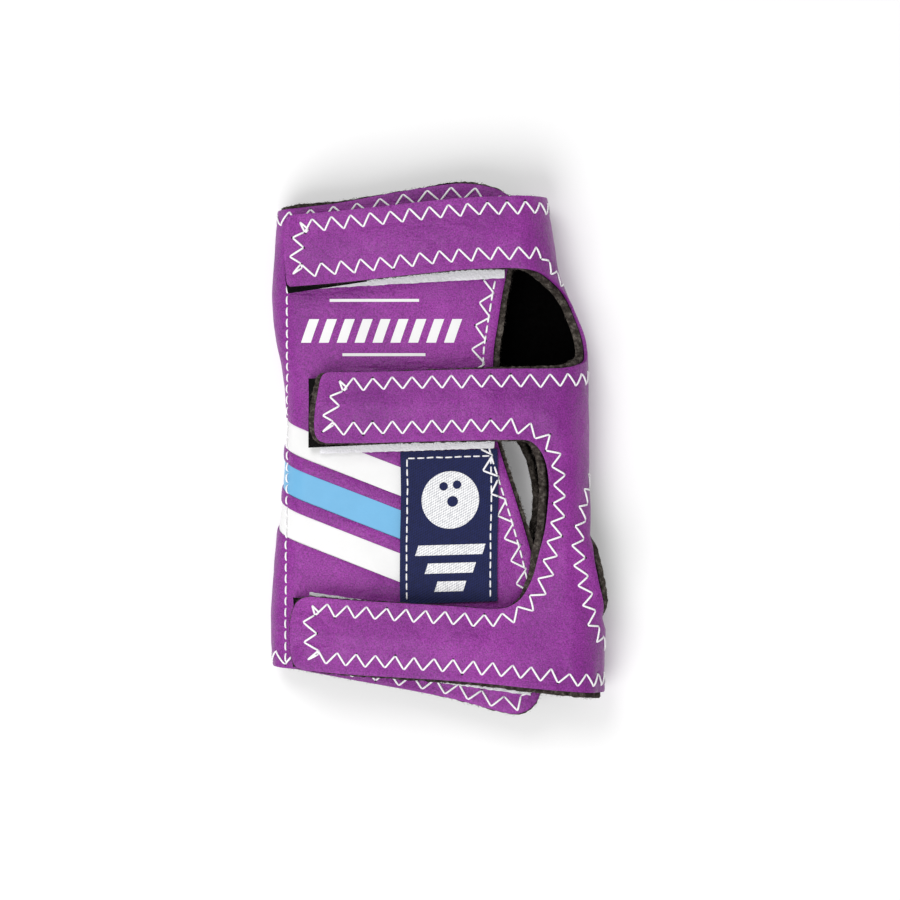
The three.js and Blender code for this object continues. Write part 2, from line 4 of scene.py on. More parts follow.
import bpy
import numpy as np
from mathutils import Vector
from mathutils.geometry import delaunay_2d_cdt
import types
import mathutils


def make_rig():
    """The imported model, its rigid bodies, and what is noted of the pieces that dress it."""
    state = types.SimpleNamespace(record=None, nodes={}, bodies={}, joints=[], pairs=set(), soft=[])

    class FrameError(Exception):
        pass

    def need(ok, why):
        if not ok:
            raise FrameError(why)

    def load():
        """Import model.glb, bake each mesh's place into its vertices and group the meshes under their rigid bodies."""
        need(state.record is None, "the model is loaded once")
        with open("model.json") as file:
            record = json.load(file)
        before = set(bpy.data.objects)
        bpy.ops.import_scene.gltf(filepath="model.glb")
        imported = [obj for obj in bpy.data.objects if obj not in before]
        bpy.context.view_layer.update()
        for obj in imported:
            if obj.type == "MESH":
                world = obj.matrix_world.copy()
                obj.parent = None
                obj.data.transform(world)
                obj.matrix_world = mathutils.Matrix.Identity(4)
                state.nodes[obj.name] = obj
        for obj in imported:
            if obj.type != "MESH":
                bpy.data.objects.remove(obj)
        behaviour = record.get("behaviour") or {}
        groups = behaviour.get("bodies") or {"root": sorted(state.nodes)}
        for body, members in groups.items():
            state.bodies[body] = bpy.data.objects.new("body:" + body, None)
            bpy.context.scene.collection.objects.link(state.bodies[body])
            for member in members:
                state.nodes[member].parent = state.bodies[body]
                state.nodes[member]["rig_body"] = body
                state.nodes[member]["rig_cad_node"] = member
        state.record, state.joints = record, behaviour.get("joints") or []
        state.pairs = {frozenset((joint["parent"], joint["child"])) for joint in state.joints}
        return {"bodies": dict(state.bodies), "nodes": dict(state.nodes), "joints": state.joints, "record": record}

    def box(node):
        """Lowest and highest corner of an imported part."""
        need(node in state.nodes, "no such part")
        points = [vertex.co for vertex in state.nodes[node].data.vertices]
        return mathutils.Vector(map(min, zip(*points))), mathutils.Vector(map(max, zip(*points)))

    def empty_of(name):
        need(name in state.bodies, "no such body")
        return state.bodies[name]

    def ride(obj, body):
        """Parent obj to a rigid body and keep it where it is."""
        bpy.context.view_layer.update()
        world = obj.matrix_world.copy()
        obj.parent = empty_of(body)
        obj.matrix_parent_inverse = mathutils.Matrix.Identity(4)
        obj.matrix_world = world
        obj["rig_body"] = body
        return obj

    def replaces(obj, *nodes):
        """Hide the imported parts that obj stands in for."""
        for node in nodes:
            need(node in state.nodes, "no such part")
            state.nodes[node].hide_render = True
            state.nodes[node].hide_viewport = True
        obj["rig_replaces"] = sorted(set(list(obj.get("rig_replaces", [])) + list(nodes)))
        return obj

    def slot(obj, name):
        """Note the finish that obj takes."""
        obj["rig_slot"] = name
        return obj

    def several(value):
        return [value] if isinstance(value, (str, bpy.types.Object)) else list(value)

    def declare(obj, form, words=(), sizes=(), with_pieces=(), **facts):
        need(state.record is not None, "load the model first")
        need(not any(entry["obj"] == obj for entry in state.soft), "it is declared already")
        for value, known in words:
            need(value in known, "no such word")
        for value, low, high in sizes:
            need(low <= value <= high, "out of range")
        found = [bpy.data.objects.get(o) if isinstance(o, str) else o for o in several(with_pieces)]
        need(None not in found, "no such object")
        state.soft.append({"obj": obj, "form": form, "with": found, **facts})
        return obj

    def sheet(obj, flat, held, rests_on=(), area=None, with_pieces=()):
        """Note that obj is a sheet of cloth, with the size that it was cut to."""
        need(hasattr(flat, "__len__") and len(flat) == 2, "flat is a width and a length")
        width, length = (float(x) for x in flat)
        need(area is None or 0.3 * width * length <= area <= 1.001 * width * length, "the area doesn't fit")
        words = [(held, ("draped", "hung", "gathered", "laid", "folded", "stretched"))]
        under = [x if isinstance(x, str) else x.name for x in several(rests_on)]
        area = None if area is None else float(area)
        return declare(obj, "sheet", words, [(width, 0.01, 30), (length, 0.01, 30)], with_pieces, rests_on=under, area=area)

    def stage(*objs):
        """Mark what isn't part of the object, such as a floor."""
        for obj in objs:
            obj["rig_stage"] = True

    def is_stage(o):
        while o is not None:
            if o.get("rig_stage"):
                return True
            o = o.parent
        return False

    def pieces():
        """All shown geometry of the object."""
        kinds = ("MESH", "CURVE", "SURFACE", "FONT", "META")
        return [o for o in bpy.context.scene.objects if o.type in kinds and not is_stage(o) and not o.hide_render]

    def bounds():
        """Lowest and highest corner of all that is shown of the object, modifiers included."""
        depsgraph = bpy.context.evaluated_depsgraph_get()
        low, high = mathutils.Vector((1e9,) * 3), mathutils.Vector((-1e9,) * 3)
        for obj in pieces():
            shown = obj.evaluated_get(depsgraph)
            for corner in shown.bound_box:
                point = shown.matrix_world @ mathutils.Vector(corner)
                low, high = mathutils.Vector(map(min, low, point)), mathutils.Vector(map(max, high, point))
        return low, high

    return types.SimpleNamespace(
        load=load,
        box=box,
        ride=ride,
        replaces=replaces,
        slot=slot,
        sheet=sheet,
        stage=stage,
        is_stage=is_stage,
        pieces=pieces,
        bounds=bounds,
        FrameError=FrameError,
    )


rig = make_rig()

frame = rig.load()
cad_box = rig.bounds()

MM = 0.001
rng = np.random.default_rng(7)

# Sizes of the real glove, in millimetres, as in the frame
LENGTH = 166
WIDTH = 106
HEIGHT = 24
LEATHER = 1.2
FELT = 2.4
TAPE = 1.2
SEAM = 0.25
TOP_STRAP = 22.3
MIDDLE_STRAP = 22.1
BOTTOM_STRAP = 23.1
LOOP_TAPE = 22.4
HOOK_TAPE = 21.6
THUMB_HOLE_AROUND = 25
THUMB_HOLE_ALONG = 48
THUMB_HOLE_TILT = 16
THUMB_HOLE_DROP = 4.6
THUMB_HOLE_POUT = 2.5
THUMB_LIP_SPREAD = 24
PALM_OPENING_WIDTH = 36
PALM_OPENING_LENGTH = 54
STRIPE_WIDTH = 8.3
STRIPE_PITCH = 12.2
STRIPE_SLANT = 20.6
STRIPE_THICKNESS = 0.6
STRIPE_CLEARANCE = 0.05
LABEL_WIDTH = 30.4
LABEL_LENGTH = 47.6
LABEL_THICKNESS = 0.6
DOME = 0.1
STRAP_CAMBER = 0.8
END_FLARE = 2
FLARE_REACH = 14

WALL = LEATHER + SEAM + FELT
FLAP_HEIGHT = HEIGHT - WALL - 2 * TAPE - 3 * SEAM
HALF_LENGTH = LENGTH / 2
HALF_WIDTH = WIDTH / 2

# Where each softening sets in or fades towards the thumb side, as shares of half the width
CAMBER_FADES = (0.2, 0.6)
FLARE_SETS_IN = (-0.3, 0.8)
POUT_SETS_IN = (0.6, 0.9)
FLARE_EDGE = -0.1  # where the lift is whole, as a share of its reach in from the strap's edge

# Fineness of the meshes
EDGE_STEP = 0.9
SHORTEST_STEP = 0.2  # share of a step below which a stretch of an edge is left out
CURVE_POINTS = 24  # between two rows of a table
STRAP_EDGE_POINTS = 60
STRAP_ROW_POINTS = 80
FINE_STEP = 0.4
TRIM_STEP = 0.5
SEAM_LINE_STEP = 1.0
LEATHER_GRID = 1.25
FELT_GRID = 1.6
VINYL_GRID = 1.4
LOOP_GRID = 1.1
HOOK_GRID = 1.4
LABEL_GRID = 0.9
MOTIF_GRID = 1.0
PRINT_GRID = 0.8
SMALL_RIM = 0.12  # the row of points inside a small piece's edge
NEAREST_AT_ONCE = 4000  # points compared in one go

# Stitches
THREAD = 0.66  # across one thread
ZIGZAG_STEP = 3.05  # along the seam, for each slanted stitch
ZIGZAG_WIDTH = 4.1
LOCK_STITCH = 3.56
ZIGZAG_SHAKE = 0.1  # how far the needle strays
DASH_SHAKE = 0.04
TIP_SHAKE = 0.12

# Where the folds run. Columns: y as a share of half the length, x as a share of half the width.
THUMB_SIDE = [
    (-1.0, 0.99), (-0.75, 0.992), (-0.66, 1.0), (-0.58, 1.01), (-0.49, 0.988), (-0.4, 0.952),
    (-0.3, 0.93), (-0.18, 0.904), (0.0, 0.897), (0.26, 0.892), (0.41, 0.877), (0.52, 0.815), (0.64, 0.73),
    (0.78, 0.687), (1.0, 0.64),
]
LITTLE_FINGER_SIDE = [
    (-1.0, 0.975), (-0.81, 0.99), (-0.65, 1.0), (-0.37, 0.97), (-0.17, 0.938), (0.0, 0.92), (0.14, 0.909),
    (0.28, 0.927), (0.41, 0.966), (0.55, 0.989), (0.75, 0.975), (1.0, 0.955),
]

# Strap middle lines. Columns: x as a share of half the width, y as a share of half the length.
TOP_LINE = [(-0.9, 0.741), (-0.6, 0.756), (-0.145, 0.787), (0.14, 0.805), (0.41, 0.812), (1.0, 0.815)]
MIDDLE_LINE = [(-0.74, 0.154), (-0.4, 0.155), (-0.1, 0.16), (0.3, 0.166), (1.0, 0.167)]
BOTTOM_LINE = [
    (-0.87, -0.686), (-0.55, -0.705), (-0.26, -0.716), (0.07, -0.728), (0.3, -0.74), (0.52, -0.755),
    (1.0, -0.782),
]

# Strap tips. Columns: x as a share of half the width, the share of the strap's width up from its middle
# line, and how far the felt shows beyond the leather, as a share of the felt's thickness.
TOP_TIP = [
    (-0.853, 0.5, 0), (-0.886, 0.46, 0), (-0.9, 0.32, 0), (-0.906, 0.05, 0), (-0.898, -0.2, 0),
    (-0.89, -0.43, 0), (-0.884, -0.475, 0), (-0.87, -0.5, 0),
]
MIDDLE_TIP = [
    (-0.634, 0.5, 0), (-0.668, 0.48, 0.2), (-0.687, 0.42, 0.5), (-0.702, 0.26, 0.7), (-0.72, 0, 0.72),
    (-0.727, -0.22, 0.7), (-0.722, -0.37, 0.6), (-0.7, -0.46, 0.4), (-0.66, -0.5, 0.2),
]
BOTTOM_TIP = [
    (-0.75, 0.5, 0.1), (-0.795, 0.47, 0.15), (-0.835, 0.39, 0.15), (-0.86, 0.24, 0.1), (-0.87, 0, 0.1),
    (-0.868, -0.22, 0.1), (-0.855, -0.39, 0.1), (-0.83, -0.47, 0.1), (-0.79, -0.5, 0.05),
]

# Openings. Columns: x as a share of half the width, the share of the gap between the straps, felt as above.
UPPER_OPENING = [
    (0.41, 1.0, 0.1), (0.52, 0.985, 0.3), (0.61, 0.945, 0.8), (0.69, 0.86, 0.9), (0.757, 0.75, 0.8),
    (0.83, 0.58, 0.65), (0.881, 0.4, 0.6), (0.9, 0.23, 0.6), (0.886, 0.11, 0.6), (0.83, 0.04, 0.6),
    (0.74, 0.008, 0.45), (0.63, 0.0, 0.35),
]
LOWER_OPENING = [
    (0.48, 1.0, 0.2), (0.535, 0.993, 0.4), (0.59, 0.95, 0.9), (0.631, 0.87, 1.2), (0.65, 0.73, 1.3),
    (0.638, 0.57, 1.2), (0.611, 0.42, 1.0), (0.575, 0.28, 0.8), (0.533, 0.16, 0.5), (0.475, 0.07, 0.2),
    (0.4, 0.02, 0), (0.3, 0.0, 0),
]

# The flap. Columns: x as a share of half the width, y as a share of half the length, felt as above.
FLAP_TOP = [
    (-0.84, 0.908, 0.55), (-0.585, 0.928, 0.3), (-0.29, 0.963, 0.1), (-0.04, 0.989, 0.15),
    (0.12, 1.0, 0.3), (0.26, 0.993, 0.25), (0.37, 0.972, 0.15), (0.435, 0.94, 0.1), (0.457, 0.9, 0.1),
]
FLAP_EDGE = [
    (0.457, 0.9, 0.1), (0.435, 0.78, 0.3), (0.4, 0.65, 0.75), (0.357, 0.495, 0.8), (0.325, 0.34, 0.8),
    (0.312, 0.2, 0.7), (0.33, 0.09, 0.6), (0.37, -0.02, 0.55), (0.44, -0.16, 0.55), (0.512, -0.31, 0.6),
    (0.57, -0.45, 0.6), (0.605, -0.58, 0.3), (0.618, -0.75, 0.1), (0.615, -0.89, 0.1),
]
FLAP_BOTTOM = [
    (0.615, -0.89, 0.1), (0.585, -0.95, 0.15), (0.53, -0.985, 0.2), (0.46, -1.0, 0.2),
    (0.36, -0.99, 0.15), (0.2, -0.962, 0.1), (0.05, -0.938, 0.05), (-0.2, -0.907, 0), (-0.55, -0.867, 0),
    (-0.84, -0.832, 0),
]
# The back sheet's ends at the little finger side and the thumb side, as shares of half the length
BACK_TOP = (0.895, 0.951)
BACK_BOTTOM = (-0.812, -0.922)
CORNER_FELT = 0.1  # felt as above, at two of the back sheet's corners
# Where the outer straps' free edges leave their folds and tips. Columns: x and felt as above.
TOP_EDGE_START = (0.45, 0)
BOTTOM_EDGE_START = (-0.79, 0.1)
BOTTOM_EDGE_END = (0.985, 0.75)
THUMB_HOLE_Y = -0.398  # the hole's middle, as a share of half the length
PALM_OPENING = (0.245, -0.193)  # its middle, as shares of the halves
THUMB_HOLE_FELT = (0.5, 1.1)  # felt as above, on the palm side and on the front side
PALM_OPENING_FELT = (0.5, 0.5)
THUMB_LIP_DROP = 0.146  # the lip's middle below the hole's, as a share of the hole's length
THUMB_LIP_LENGTH = 0.56

# Tape patches. Columns: x and y of the middle of the left end, then of the right end, as shares of the
# halves.
LOOP_ENDS = {
    "top": (-0.8, 0.735, 0.39, 0.778),
    "middle": (-0.7, 0.115, 0.33, 0.137),
    "bottom": (-0.76, -0.675, 0.545, -0.795),
}
HOOK_ENDS = {
    "top": (-0.885, 0.715, -0.42, 0.7595),
    "middle": (-0.765, 0.134, -0.23, 0.15),
    "bottom": (-0.857, -0.69, -0.3, -0.71),
}
LABEL_TOP = (0.062, -0.006, 0.03)  # x and y of the middle of its upper edge, and that edge's slope
STRIPE_START = -0.17  # the stripes' thumb-side end, as a share of half the width
STRIPE_MIDDLE = -0.3  # the blue stripe's height there, as a share of half the length
STRIPE_TURN = 12  # how far they run on under the glove, past the left fold


# The rolled shape

def smoothstep(value, low, high):
    share = np.clip((value - low) / (high - low), 0, 1)
    return share * share * (3 - 2 * share)


def hermite(t, start, start_slope, end, end_slope):
    """The cubic between two values with a slope at each."""
    return (
        (1 + 2 * t) * (1 - t) ** 2 * start
        + t * (1 - t) ** 2 * start_slope
        + t * t * (3 - 2 * t) * end
        + t * t * (t - 1) * end_slope
    )


def through(rows):
    """A smooth function through rows of (at, value)."""
    at, value = np.array(rows, float).T
    slope = np.gradient(value, at)

    def line(t):
        t = np.clip(t, at[0], at[-1])
        i = np.clip(np.searchsorted(at, t) - 1, 0, len(at) - 2)
        step = at[i + 1] - at[i]
        share = (t - at[i]) / step
        return hermite(share, value[i], step * slope[i], value[i + 1], step * slope[i + 1])

    return line


class Side:
    """One fold of the tube: its radius, how far out it reaches, and where the pattern meets it."""

    def __init__(self, sign, radius, rows):
        self.sign = sign
        self.radius = radius
        self.back = HALF_WIDTH - radius
        self.fold_end = self.back + math.pi * radius
        self.share = through(rows)

    def reach(self, y):
        return HALF_WIDTH * self.share(y / HALF_LENGTH)


RIGHT = Side(1, HEIGHT / 2, THUMB_SIDE)
LEFT = Side(-1, FLAP_HEIGHT / 2, LITTLE_FINGER_SIDE)


class Strap:
    def __init__(self, width, rows):
        self.width = width
        self.share = through(rows)

    def middle_line(self, x):
        return HALF_LENGTH * self.share(x / HALF_WIDTH)

    def edge(self, x, half):
        return self.middle_line(x) + half * self.width


STRAPS = {
    "top": Strap(TOP_STRAP, TOP_LINE),
    "middle": Strap(MIDDLE_STRAP, MIDDLE_LINE),
    "bottom": Strap(BOTTOM_STRAP, BOTTOM_LINE),
}
top, middle, bottom = STRAPS.values()


def seen(side, x, y):
    """The pattern point at (x, y) of the upper half, as seen from above."""
    x, y = np.asarray(x, float), np.asarray(y, float)
    past = (side.sign * x - (side.reach(y) - side.radius)) / side.radius
    over = side.fold_end - side.radius * np.arcsin(np.clip(past, 0, 1))
    along = np.where(past < 0, side.fold_end - past * side.radius, over)
    return side.sign * along, y


def under(x, y):
    """The pattern point at (x, y) of the flat back."""
    side = LEFT if x < 0 else RIGHT
    return x * side.back / (side.reach(y) - side.radius), y


def settled(x, y, z):
    """Lying softly: domed, cambered, the free edge lifted and the thumb hole's palm side pushed out."""
    lift = z * DOME * np.maximum(0, 1 - (x / HALF_WIDTH) ** 2)
    strap_top = smoothstep(z, FLAP_HEIGHT, HEIGHT)
    fade = 1 - smoothstep(x / HALF_WIDTH, *CAMBER_FADES)
    for strap in STRAPS.values():
        offset = 2 * (y - strap.middle_line(x)) / strap.width
        lift = lift + STRAP_CAMBER * strap_top * fade * np.maximum(0, 1 - offset**2)
    strap_body = smoothstep(z, HEIGHT - WALL - SEAM - TAPE, HEIGHT - WALL)
    near_edge = 1 - smoothstep((y - bottom.edge(x, -0.5)) / FLARE_REACH, FLARE_EDGE, 1)
    lift = lift + END_FLARE * strap_body * near_edge * smoothstep(x / HALF_WIDTH, *FLARE_SETS_IN)
    beside = np.maximum(0, 1 - ((y / HALF_LENGTH - THUMB_HOLE_Y) * (LENGTH / THUMB_HOLE_ALONG)) ** 2)
    low = 1 - smoothstep(z, 0, HEIGHT / 2)
    outwards = THUMB_HOLE_POUT * beside * low * smoothstep(x / HALF_WIDTH, *POUT_SETS_IN)
    return x + outwards, y, z + lift


def lip_radius(v):
    """The thumb side's fold radius over the thumb hole's front lip, which lies flatter."""
    lip_middle = THUMB_HOLE_Y * HALF_LENGTH - THUMB_LIP_DROP * THUMB_HOLE_ALONG
    offset = 2 * (v - lip_middle) / (THUMB_LIP_LENGTH * THUMB_HOLE_ALONG)
    return RIGHT.radius + THUMB_LIP_SPREAD * np.maximum(0, 1 - offset**2) ** 2


def bent(u, v, w):
    """The place of pattern point (u, v) at depth w below the outer face, in the sheet's own frame."""
    u, v, w = np.broadcast_arrays(np.asarray(u, float), np.asarray(v, float), np.asarray(w, float))
    right = u >= 0
    sign = np.where(right, 1.0, -1.0)
    fold = np.where(right, RIGHT.radius, LEFT.radius)
    back = np.where(right, RIGHT.back, LEFT.back)
    fold_end = np.where(right, RIGHT.fold_end, LEFT.fold_end)
    centre = np.where(right, RIGHT.reach(v), LEFT.reach(v)) - fold
    along = np.abs(u)
    front = along > back + math.pi * fold / 2
    radius = np.where(right & front, lip_radius(v), fold)
    turn = np.where(front, np.maximum(fold_end - along, 0), np.maximum(along - back, 0)) / radius
    past = np.maximum(along - fold_end, 0)
    flat = along <= back
    drop = radius - (radius - w) * np.cos(turn)
    x = np.where(flat, along / back * centre, centre + (radius - w) * np.sin(turn) - past)
    z = np.where(front, 2 * fold - drop, drop)
    x, y, z = settled(sign * x, v, z)
    return np.stack([x, y, z], axis=-1)


# Outlines in the pattern, as rows of (u, v, how far the felt stands out)

def smooth_run(points, step):
    """Points every step or so along a centripetal curve."""
    p = np.vstack([2 * points[0] - points[1], points, 2 * points[-1] - points[-2]])
    d = np.sqrt(np.linalg.norm(np.diff(p, axis=0), axis=1))
    t = np.linspace(0, 1, CURVE_POINTS, endpoint=False)[:, None]

    def slope(i):
        before, after = (p[i] - p[i - 1]) / d[i - 1], (p[i + 1] - p[i]) / d[i]
        return before - (p[i + 1] - p[i - 1]) / (d[i - 1] + d[i]) + after

    dense = [hermite(t, p[i], slope(i) * d[i], p[i + 1], slope(i + 1) * d[i]) for i in range(1, len(p) - 2)]
    return resampled(np.vstack([*dense, points[-1:]]), step)


def distances(points):
    """How far along a line each of its points lies."""
    return np.concatenate([[0], np.cumsum(np.linalg.norm(np.diff(points, axis=0), axis=1))])


def spaced(points, run, step):
    """The same line with points every step or so of its run."""
    at = np.linspace(0, run[-1], max(2, round(run[-1] / step) + 1))
    return np.stack([np.interp(at, run, column) for column in points.T], axis=-1)


def resampled(points, step):
    """The same line with evenly spaced points."""
    return spaced(points, distances(points[:, :2]), step)


def unit(vectors):
    return vectors / np.linalg.norm(vectors, axis=-1, keepdims=True)


def left_of(ahead):
    """Unit vectors to the left of the ways ahead."""
    return unit(np.stack([-ahead[:, 1], ahead[:, 0]], axis=-1))


def joined(*lines):
    return np.vstack([np.asarray(line, float)[:, :2] for line in lines])


def round_turn(count):
    """Angles evenly round a circle."""
    return np.linspace(0, 2 * math.pi, count, endpoint=False)


def round_shape(x, y, radius, count):
    return [(x + radius * math.cos(a), y + radius * math.sin(a)) for a in round_turn(count)]


def placed(side, x, y, felt):
    u, v = seen(side, x, y)
    return np.stack(np.broadcast_arrays(u, v, np.asarray(felt) * FELT), axis=-1)


def flap_run(rows):
    x, y, felt = np.array(rows, float).T
    return smooth_run(placed(LEFT, x * HALF_WIDTH, y * HALF_LENGTH, felt), EDGE_STEP)


def tip_run(strap, rows):
    x, across, felt = np.array(rows, float).T
    return smooth_run(placed(RIGHT, x * HALF_WIDTH, strap.edge(x * HALF_WIDTH, across), felt), EDGE_STEP)


def opening_run(upper, lower, rows):
    x, up, felt = np.array(rows, float).T
    x = x * HALF_WIDTH
    low = lower.edge(x, 0.5)
    return smooth_run(placed(RIGHT, x, low + up * (upper.edge(x, -0.5) - low), felt), EDGE_STEP)


def strap_edge(strap, half, start, end):
    """A strap's long edge between two rows whose first column is x and whose last one is felt."""
    share = np.linspace(0, 1, STRAP_EDGE_POINTS)
    x = (start[0] + (end[0] - start[0]) * share) * HALF_WIDTH
    felt = start[-1] + (end[-1] - start[-1]) * share
    return resampled(placed(RIGHT, x, strap.edge(x, half), felt), EDGE_STEP)[1:-1]


def closed(pieces):
    """One loop from pieces, with no stretch longer than a step."""
    loop = np.vstack(pieces)
    loop = np.vstack([loop, loop[:1]])
    rows = []
    for a, b in zip(loop[:-1], loop[1:]):
        length = np.linalg.norm((b - a)[:2])
        if length < SHORTEST_STEP * EDGE_STEP:
            continue
        share = np.linspace(0, 1, max(1, round(length / EDGE_STEP)), endpoint=False)[:, None]
        rows.append(a + (b - a) * share)
    return np.vstack(rows)


def loop_of(points):
    """A loop through corners given as (u, v)."""
    return closed([np.array([(float(u), float(v), 0) for u, v in points])])


fold_top = float(top.edge(RIGHT.reach(HALF_LENGTH), 0.5))
outline = closed([
    flap_run(FLAP_EDGE)[::-1],
    flap_run(FLAP_TOP)[::-1][1:],
    np.array([[-LEFT.back, BACK_TOP[0] * HALF_LENGTH, CORNER_FELT * FELT]]),
    np.array([[RIGHT.back, BACK_TOP[1] * HALF_LENGTH, 0]]),
    np.array([[RIGHT.fold_end, fold_top, 0]]),
    strap_edge(top, 0.5, TOP_EDGE_START, TOP_TIP[0]),
    tip_run(top, TOP_TIP),
    strap_edge(top, -0.5, TOP_TIP[-1], UPPER_OPENING[0]),
    opening_run(top, middle, UPPER_OPENING),
    strap_edge(middle, 0.5, UPPER_OPENING[-1], MIDDLE_TIP[0]),
    tip_run(middle, MIDDLE_TIP),
    strap_edge(middle, -0.5, MIDDLE_TIP[-1], LOWER_OPENING[0]),
    opening_run(middle, bottom, LOWER_OPENING),
    strap_edge(bottom, 0.5, LOWER_OPENING[-1], BOTTOM_TIP[0]),
    tip_run(bottom, BOTTOM_TIP),
    strap_edge(bottom, -0.5, BOTTOM_EDGE_START, BOTTOM_EDGE_END),
    np.array([[RIGHT.back, BACK_BOTTOM[1] * HALF_LENGTH, CORNER_FELT * FELT]]),
    np.array([[-LEFT.back, BACK_BOTTOM[0] * HALF_LENGTH, 0]]),
    flap_run(FLAP_BOTTOM)[::-1],
])


def oval(place, width, length, felt, tilt=0, grow=0):
    """An oval hole, turned by tilt and grown all round."""
    turn = round_turn(round(math.pi * (width + length) / 2 / EDGE_STEP))
    a = (width / 2 + grow) * np.cos(turn)
    b = (length / 2 + grow) * np.sin(turn)
    angle = math.radians(tilt)
    across = a * math.cos(angle) - b * math.sin(angle)
    along = a * math.sin(angle) + b * math.cos(angle)
    proud = felt[0] + (felt[1] - felt[0]) * (1 + np.cos(turn)) / 2
    return np.array([(*place(x, y), p * FELT) for x, y, p in zip(across, along, proud)])


def thumb_hole(grow=0):
    u = RIGHT.back + math.pi * RIGHT.radius / 2 - THUMB_HOLE_DROP
    v = THUMB_HOLE_Y * HALF_LENGTH
    size = (THUMB_HOLE_AROUND, THUMB_HOLE_ALONG)
    return oval(lambda a, b: (u + a, v + b), *size, THUMB_HOLE_FELT, THUMB_HOLE_TILT, grow)


def palm_opening(grow=0):
    x, y = PALM_OPENING[0] * HALF_WIDTH, PALM_OPENING[1] * HALF_LENGTH
    size = (PALM_OPENING_WIDTH, PALM_OPENING_LENGTH)
    return oval(lambda a, b: under(x + a, y + b), *size, PALM_OPENING_FELT, 0, grow)


def area_of(loop):
    x, y = loop[:, 0], loop[:, 1]
    return float(np.sum(x * np.roll(y, -1) - np.roll(x, -1) * y) / 2)


def moved_out(loop, distance):
    """Each point moved out of its loop by a distance, one for all or one each."""
    across = left_of(np.roll(loop, -1, axis=0) - np.roll(loop, 1, axis=0))
    out = loop.copy()
    out[:, :2] -= np.sign(area_of(loop)) * across * np.reshape(distance, (-1, 1))
    return out


def turned(loops):
    """The outline anticlockwise and the holes clockwise."""
    return [loop if (area_of(loop) > 0) == (i == 0) else loop[::-1] for i, loop in enumerate(loops)]


def inside(points, loops):
    """Whether each point lies in the outline and in none of its holes."""
    odd = np.zeros(len(points), bool)
    x, y = points[:, 0], points[:, 1]
    for loop in loops:
        for (x1, y1), (x2, y2) in zip(loop[:, :2], np.roll(loop[:, :2], -1, axis=0)):
            if y1 != y2:
                odd ^= ((y1 > y) != (y2 > y)) & (x < (x2 - x1) * (y - y1) / (y2 - y1) + x1)
    return odd


def grid_inside(parts, spacing):
    """Staggered points inside the loops."""
    low = parts[0][:, :2].min(axis=0)
    high = parts[0][:, :2].max(axis=0)
    rows = np.arange(low[1], high[1], spacing * math.sqrt(3) / 2)
    points = np.array([
        (x + (i % 2) * spacing / 2, y)
        for i, y in enumerate(rows)
        for x in np.arange(low[0], high[0], spacing)
    ])
    return points[inside(points, parts)]


def frame_shift():
    """From the sheet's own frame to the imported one, whose origin is the centre of the leather's box."""
    spread = np.vstack([grid_inside([outline, thumb_hole()], LEATHER_GRID), outline[:, :2]])
    places = bent(spread[:, 0], spread[:, 1], 0)
    low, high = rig.box("leather_shell")
    shift = (np.array(low) + np.array(high)) / 2 / MM - (places.min(axis=0) + places.max(axis=0)) / 2
    return shift * (1, 1, 0)


shift = frame_shift()


def rolled(u, v, w):
    """The place in millimetres of pattern point (u, v) at depth w below the leather's outer face."""
    return bent(u, v, w) + shift


def stripe_band(index, clearance):
    start_u, start_v = seen(LEFT, STRIPE_START * HALF_WIDTH, STRIPE_MIDDLE * HALF_LENGTH)
    end = -(LEFT.back - STRIPE_TURN)
    slant = math.radians(STRIPE_SLANT)
    centre = start_v + (1 - index) * STRIPE_PITCH / math.cos(slant)
    half = (STRIPE_WIDTH / 2 - clearance) / math.cos(slant)
    rise = math.tan(slant)
    corners = [
        (start_u + clearance, -half),
        (end - clearance, -half),
        (end - clearance, half),
        (start_u + clearance, half),
    ]
    return loop_of([(u, centre + (u - start_u) * rise + across) for u, across in corners])


def patch(side, height, ends):
    x1, y1, x2, y2 = ends
    corners = [(x2, y2, 0.5), (x1, y1, 0.5), (x1, y1, -0.5), (x2, y2, -0.5)]
    return loop_of([seen(side, x * HALF_WIDTH, y * HALF_LENGTH + half * height) for x, y, half in corners])


def label_point(across, down):
    """The pattern point of the label at a share across and a length down."""
    x = LABEL_TOP[0] * HALF_WIDTH + across * LABEL_WIDTH
    y = LABEL_TOP[1] * HALF_LENGTH + across * LABEL_WIDTH * LABEL_TOP[2] - down
    return seen(LEFT, x, y)


# Fields and distances in the pattern

def waves(count, longest, shortest, seed):
    """A smooth random field over the pattern, made of a few waves."""
    source = np.random.default_rng(seed)
    length = np.exp(source.uniform(math.log(shortest), math.log(longest), count))
    angle = source.uniform(0, 2 * math.pi, count)
    phase = source.uniform(0, 2 * math.pi, count)
    k = 2 * math.pi / length

    def field(u, v):
        total = 0
        for i in range(count):
            total = total + np.sin(k[i] * (u * math.cos(angle[i]) + v * math.sin(angle[i])) + phase[i])
        return total / math.sqrt(count)

    return field


def nearest(points, targets):
    """Distance from each point to the nearest target."""
    far = np.empty(len(points))
    for i in range(0, len(points), NEAREST_AT_ONCE):
        part = slice(i, i + NEAREST_AT_ONCE)
        gap = points[part, None, :2] - targets[None, :, :2]
        far[part] = np.sqrt(np.einsum("ijk,ijk->ij", gap, gap).min(axis=1))
    return far


# Seams in the pattern. Every seam is a line of points, and its stitches run from hole to hole.

def strap_line(strap, across, start, end):
    """A line along a strap, at a length up from its middle line, between two places across."""
    x = np.linspace(start, end, STRAP_ROW_POINTS)
    return np.stack(seen(RIGHT, x, strap.middle_line(x) + across), axis=-1)


def offset_line(line, distance):
    """An open line moved to its left by a distance."""
    return line[:, :2] + left_of(np.gradient(line[:, :2], axis=0)) * distance


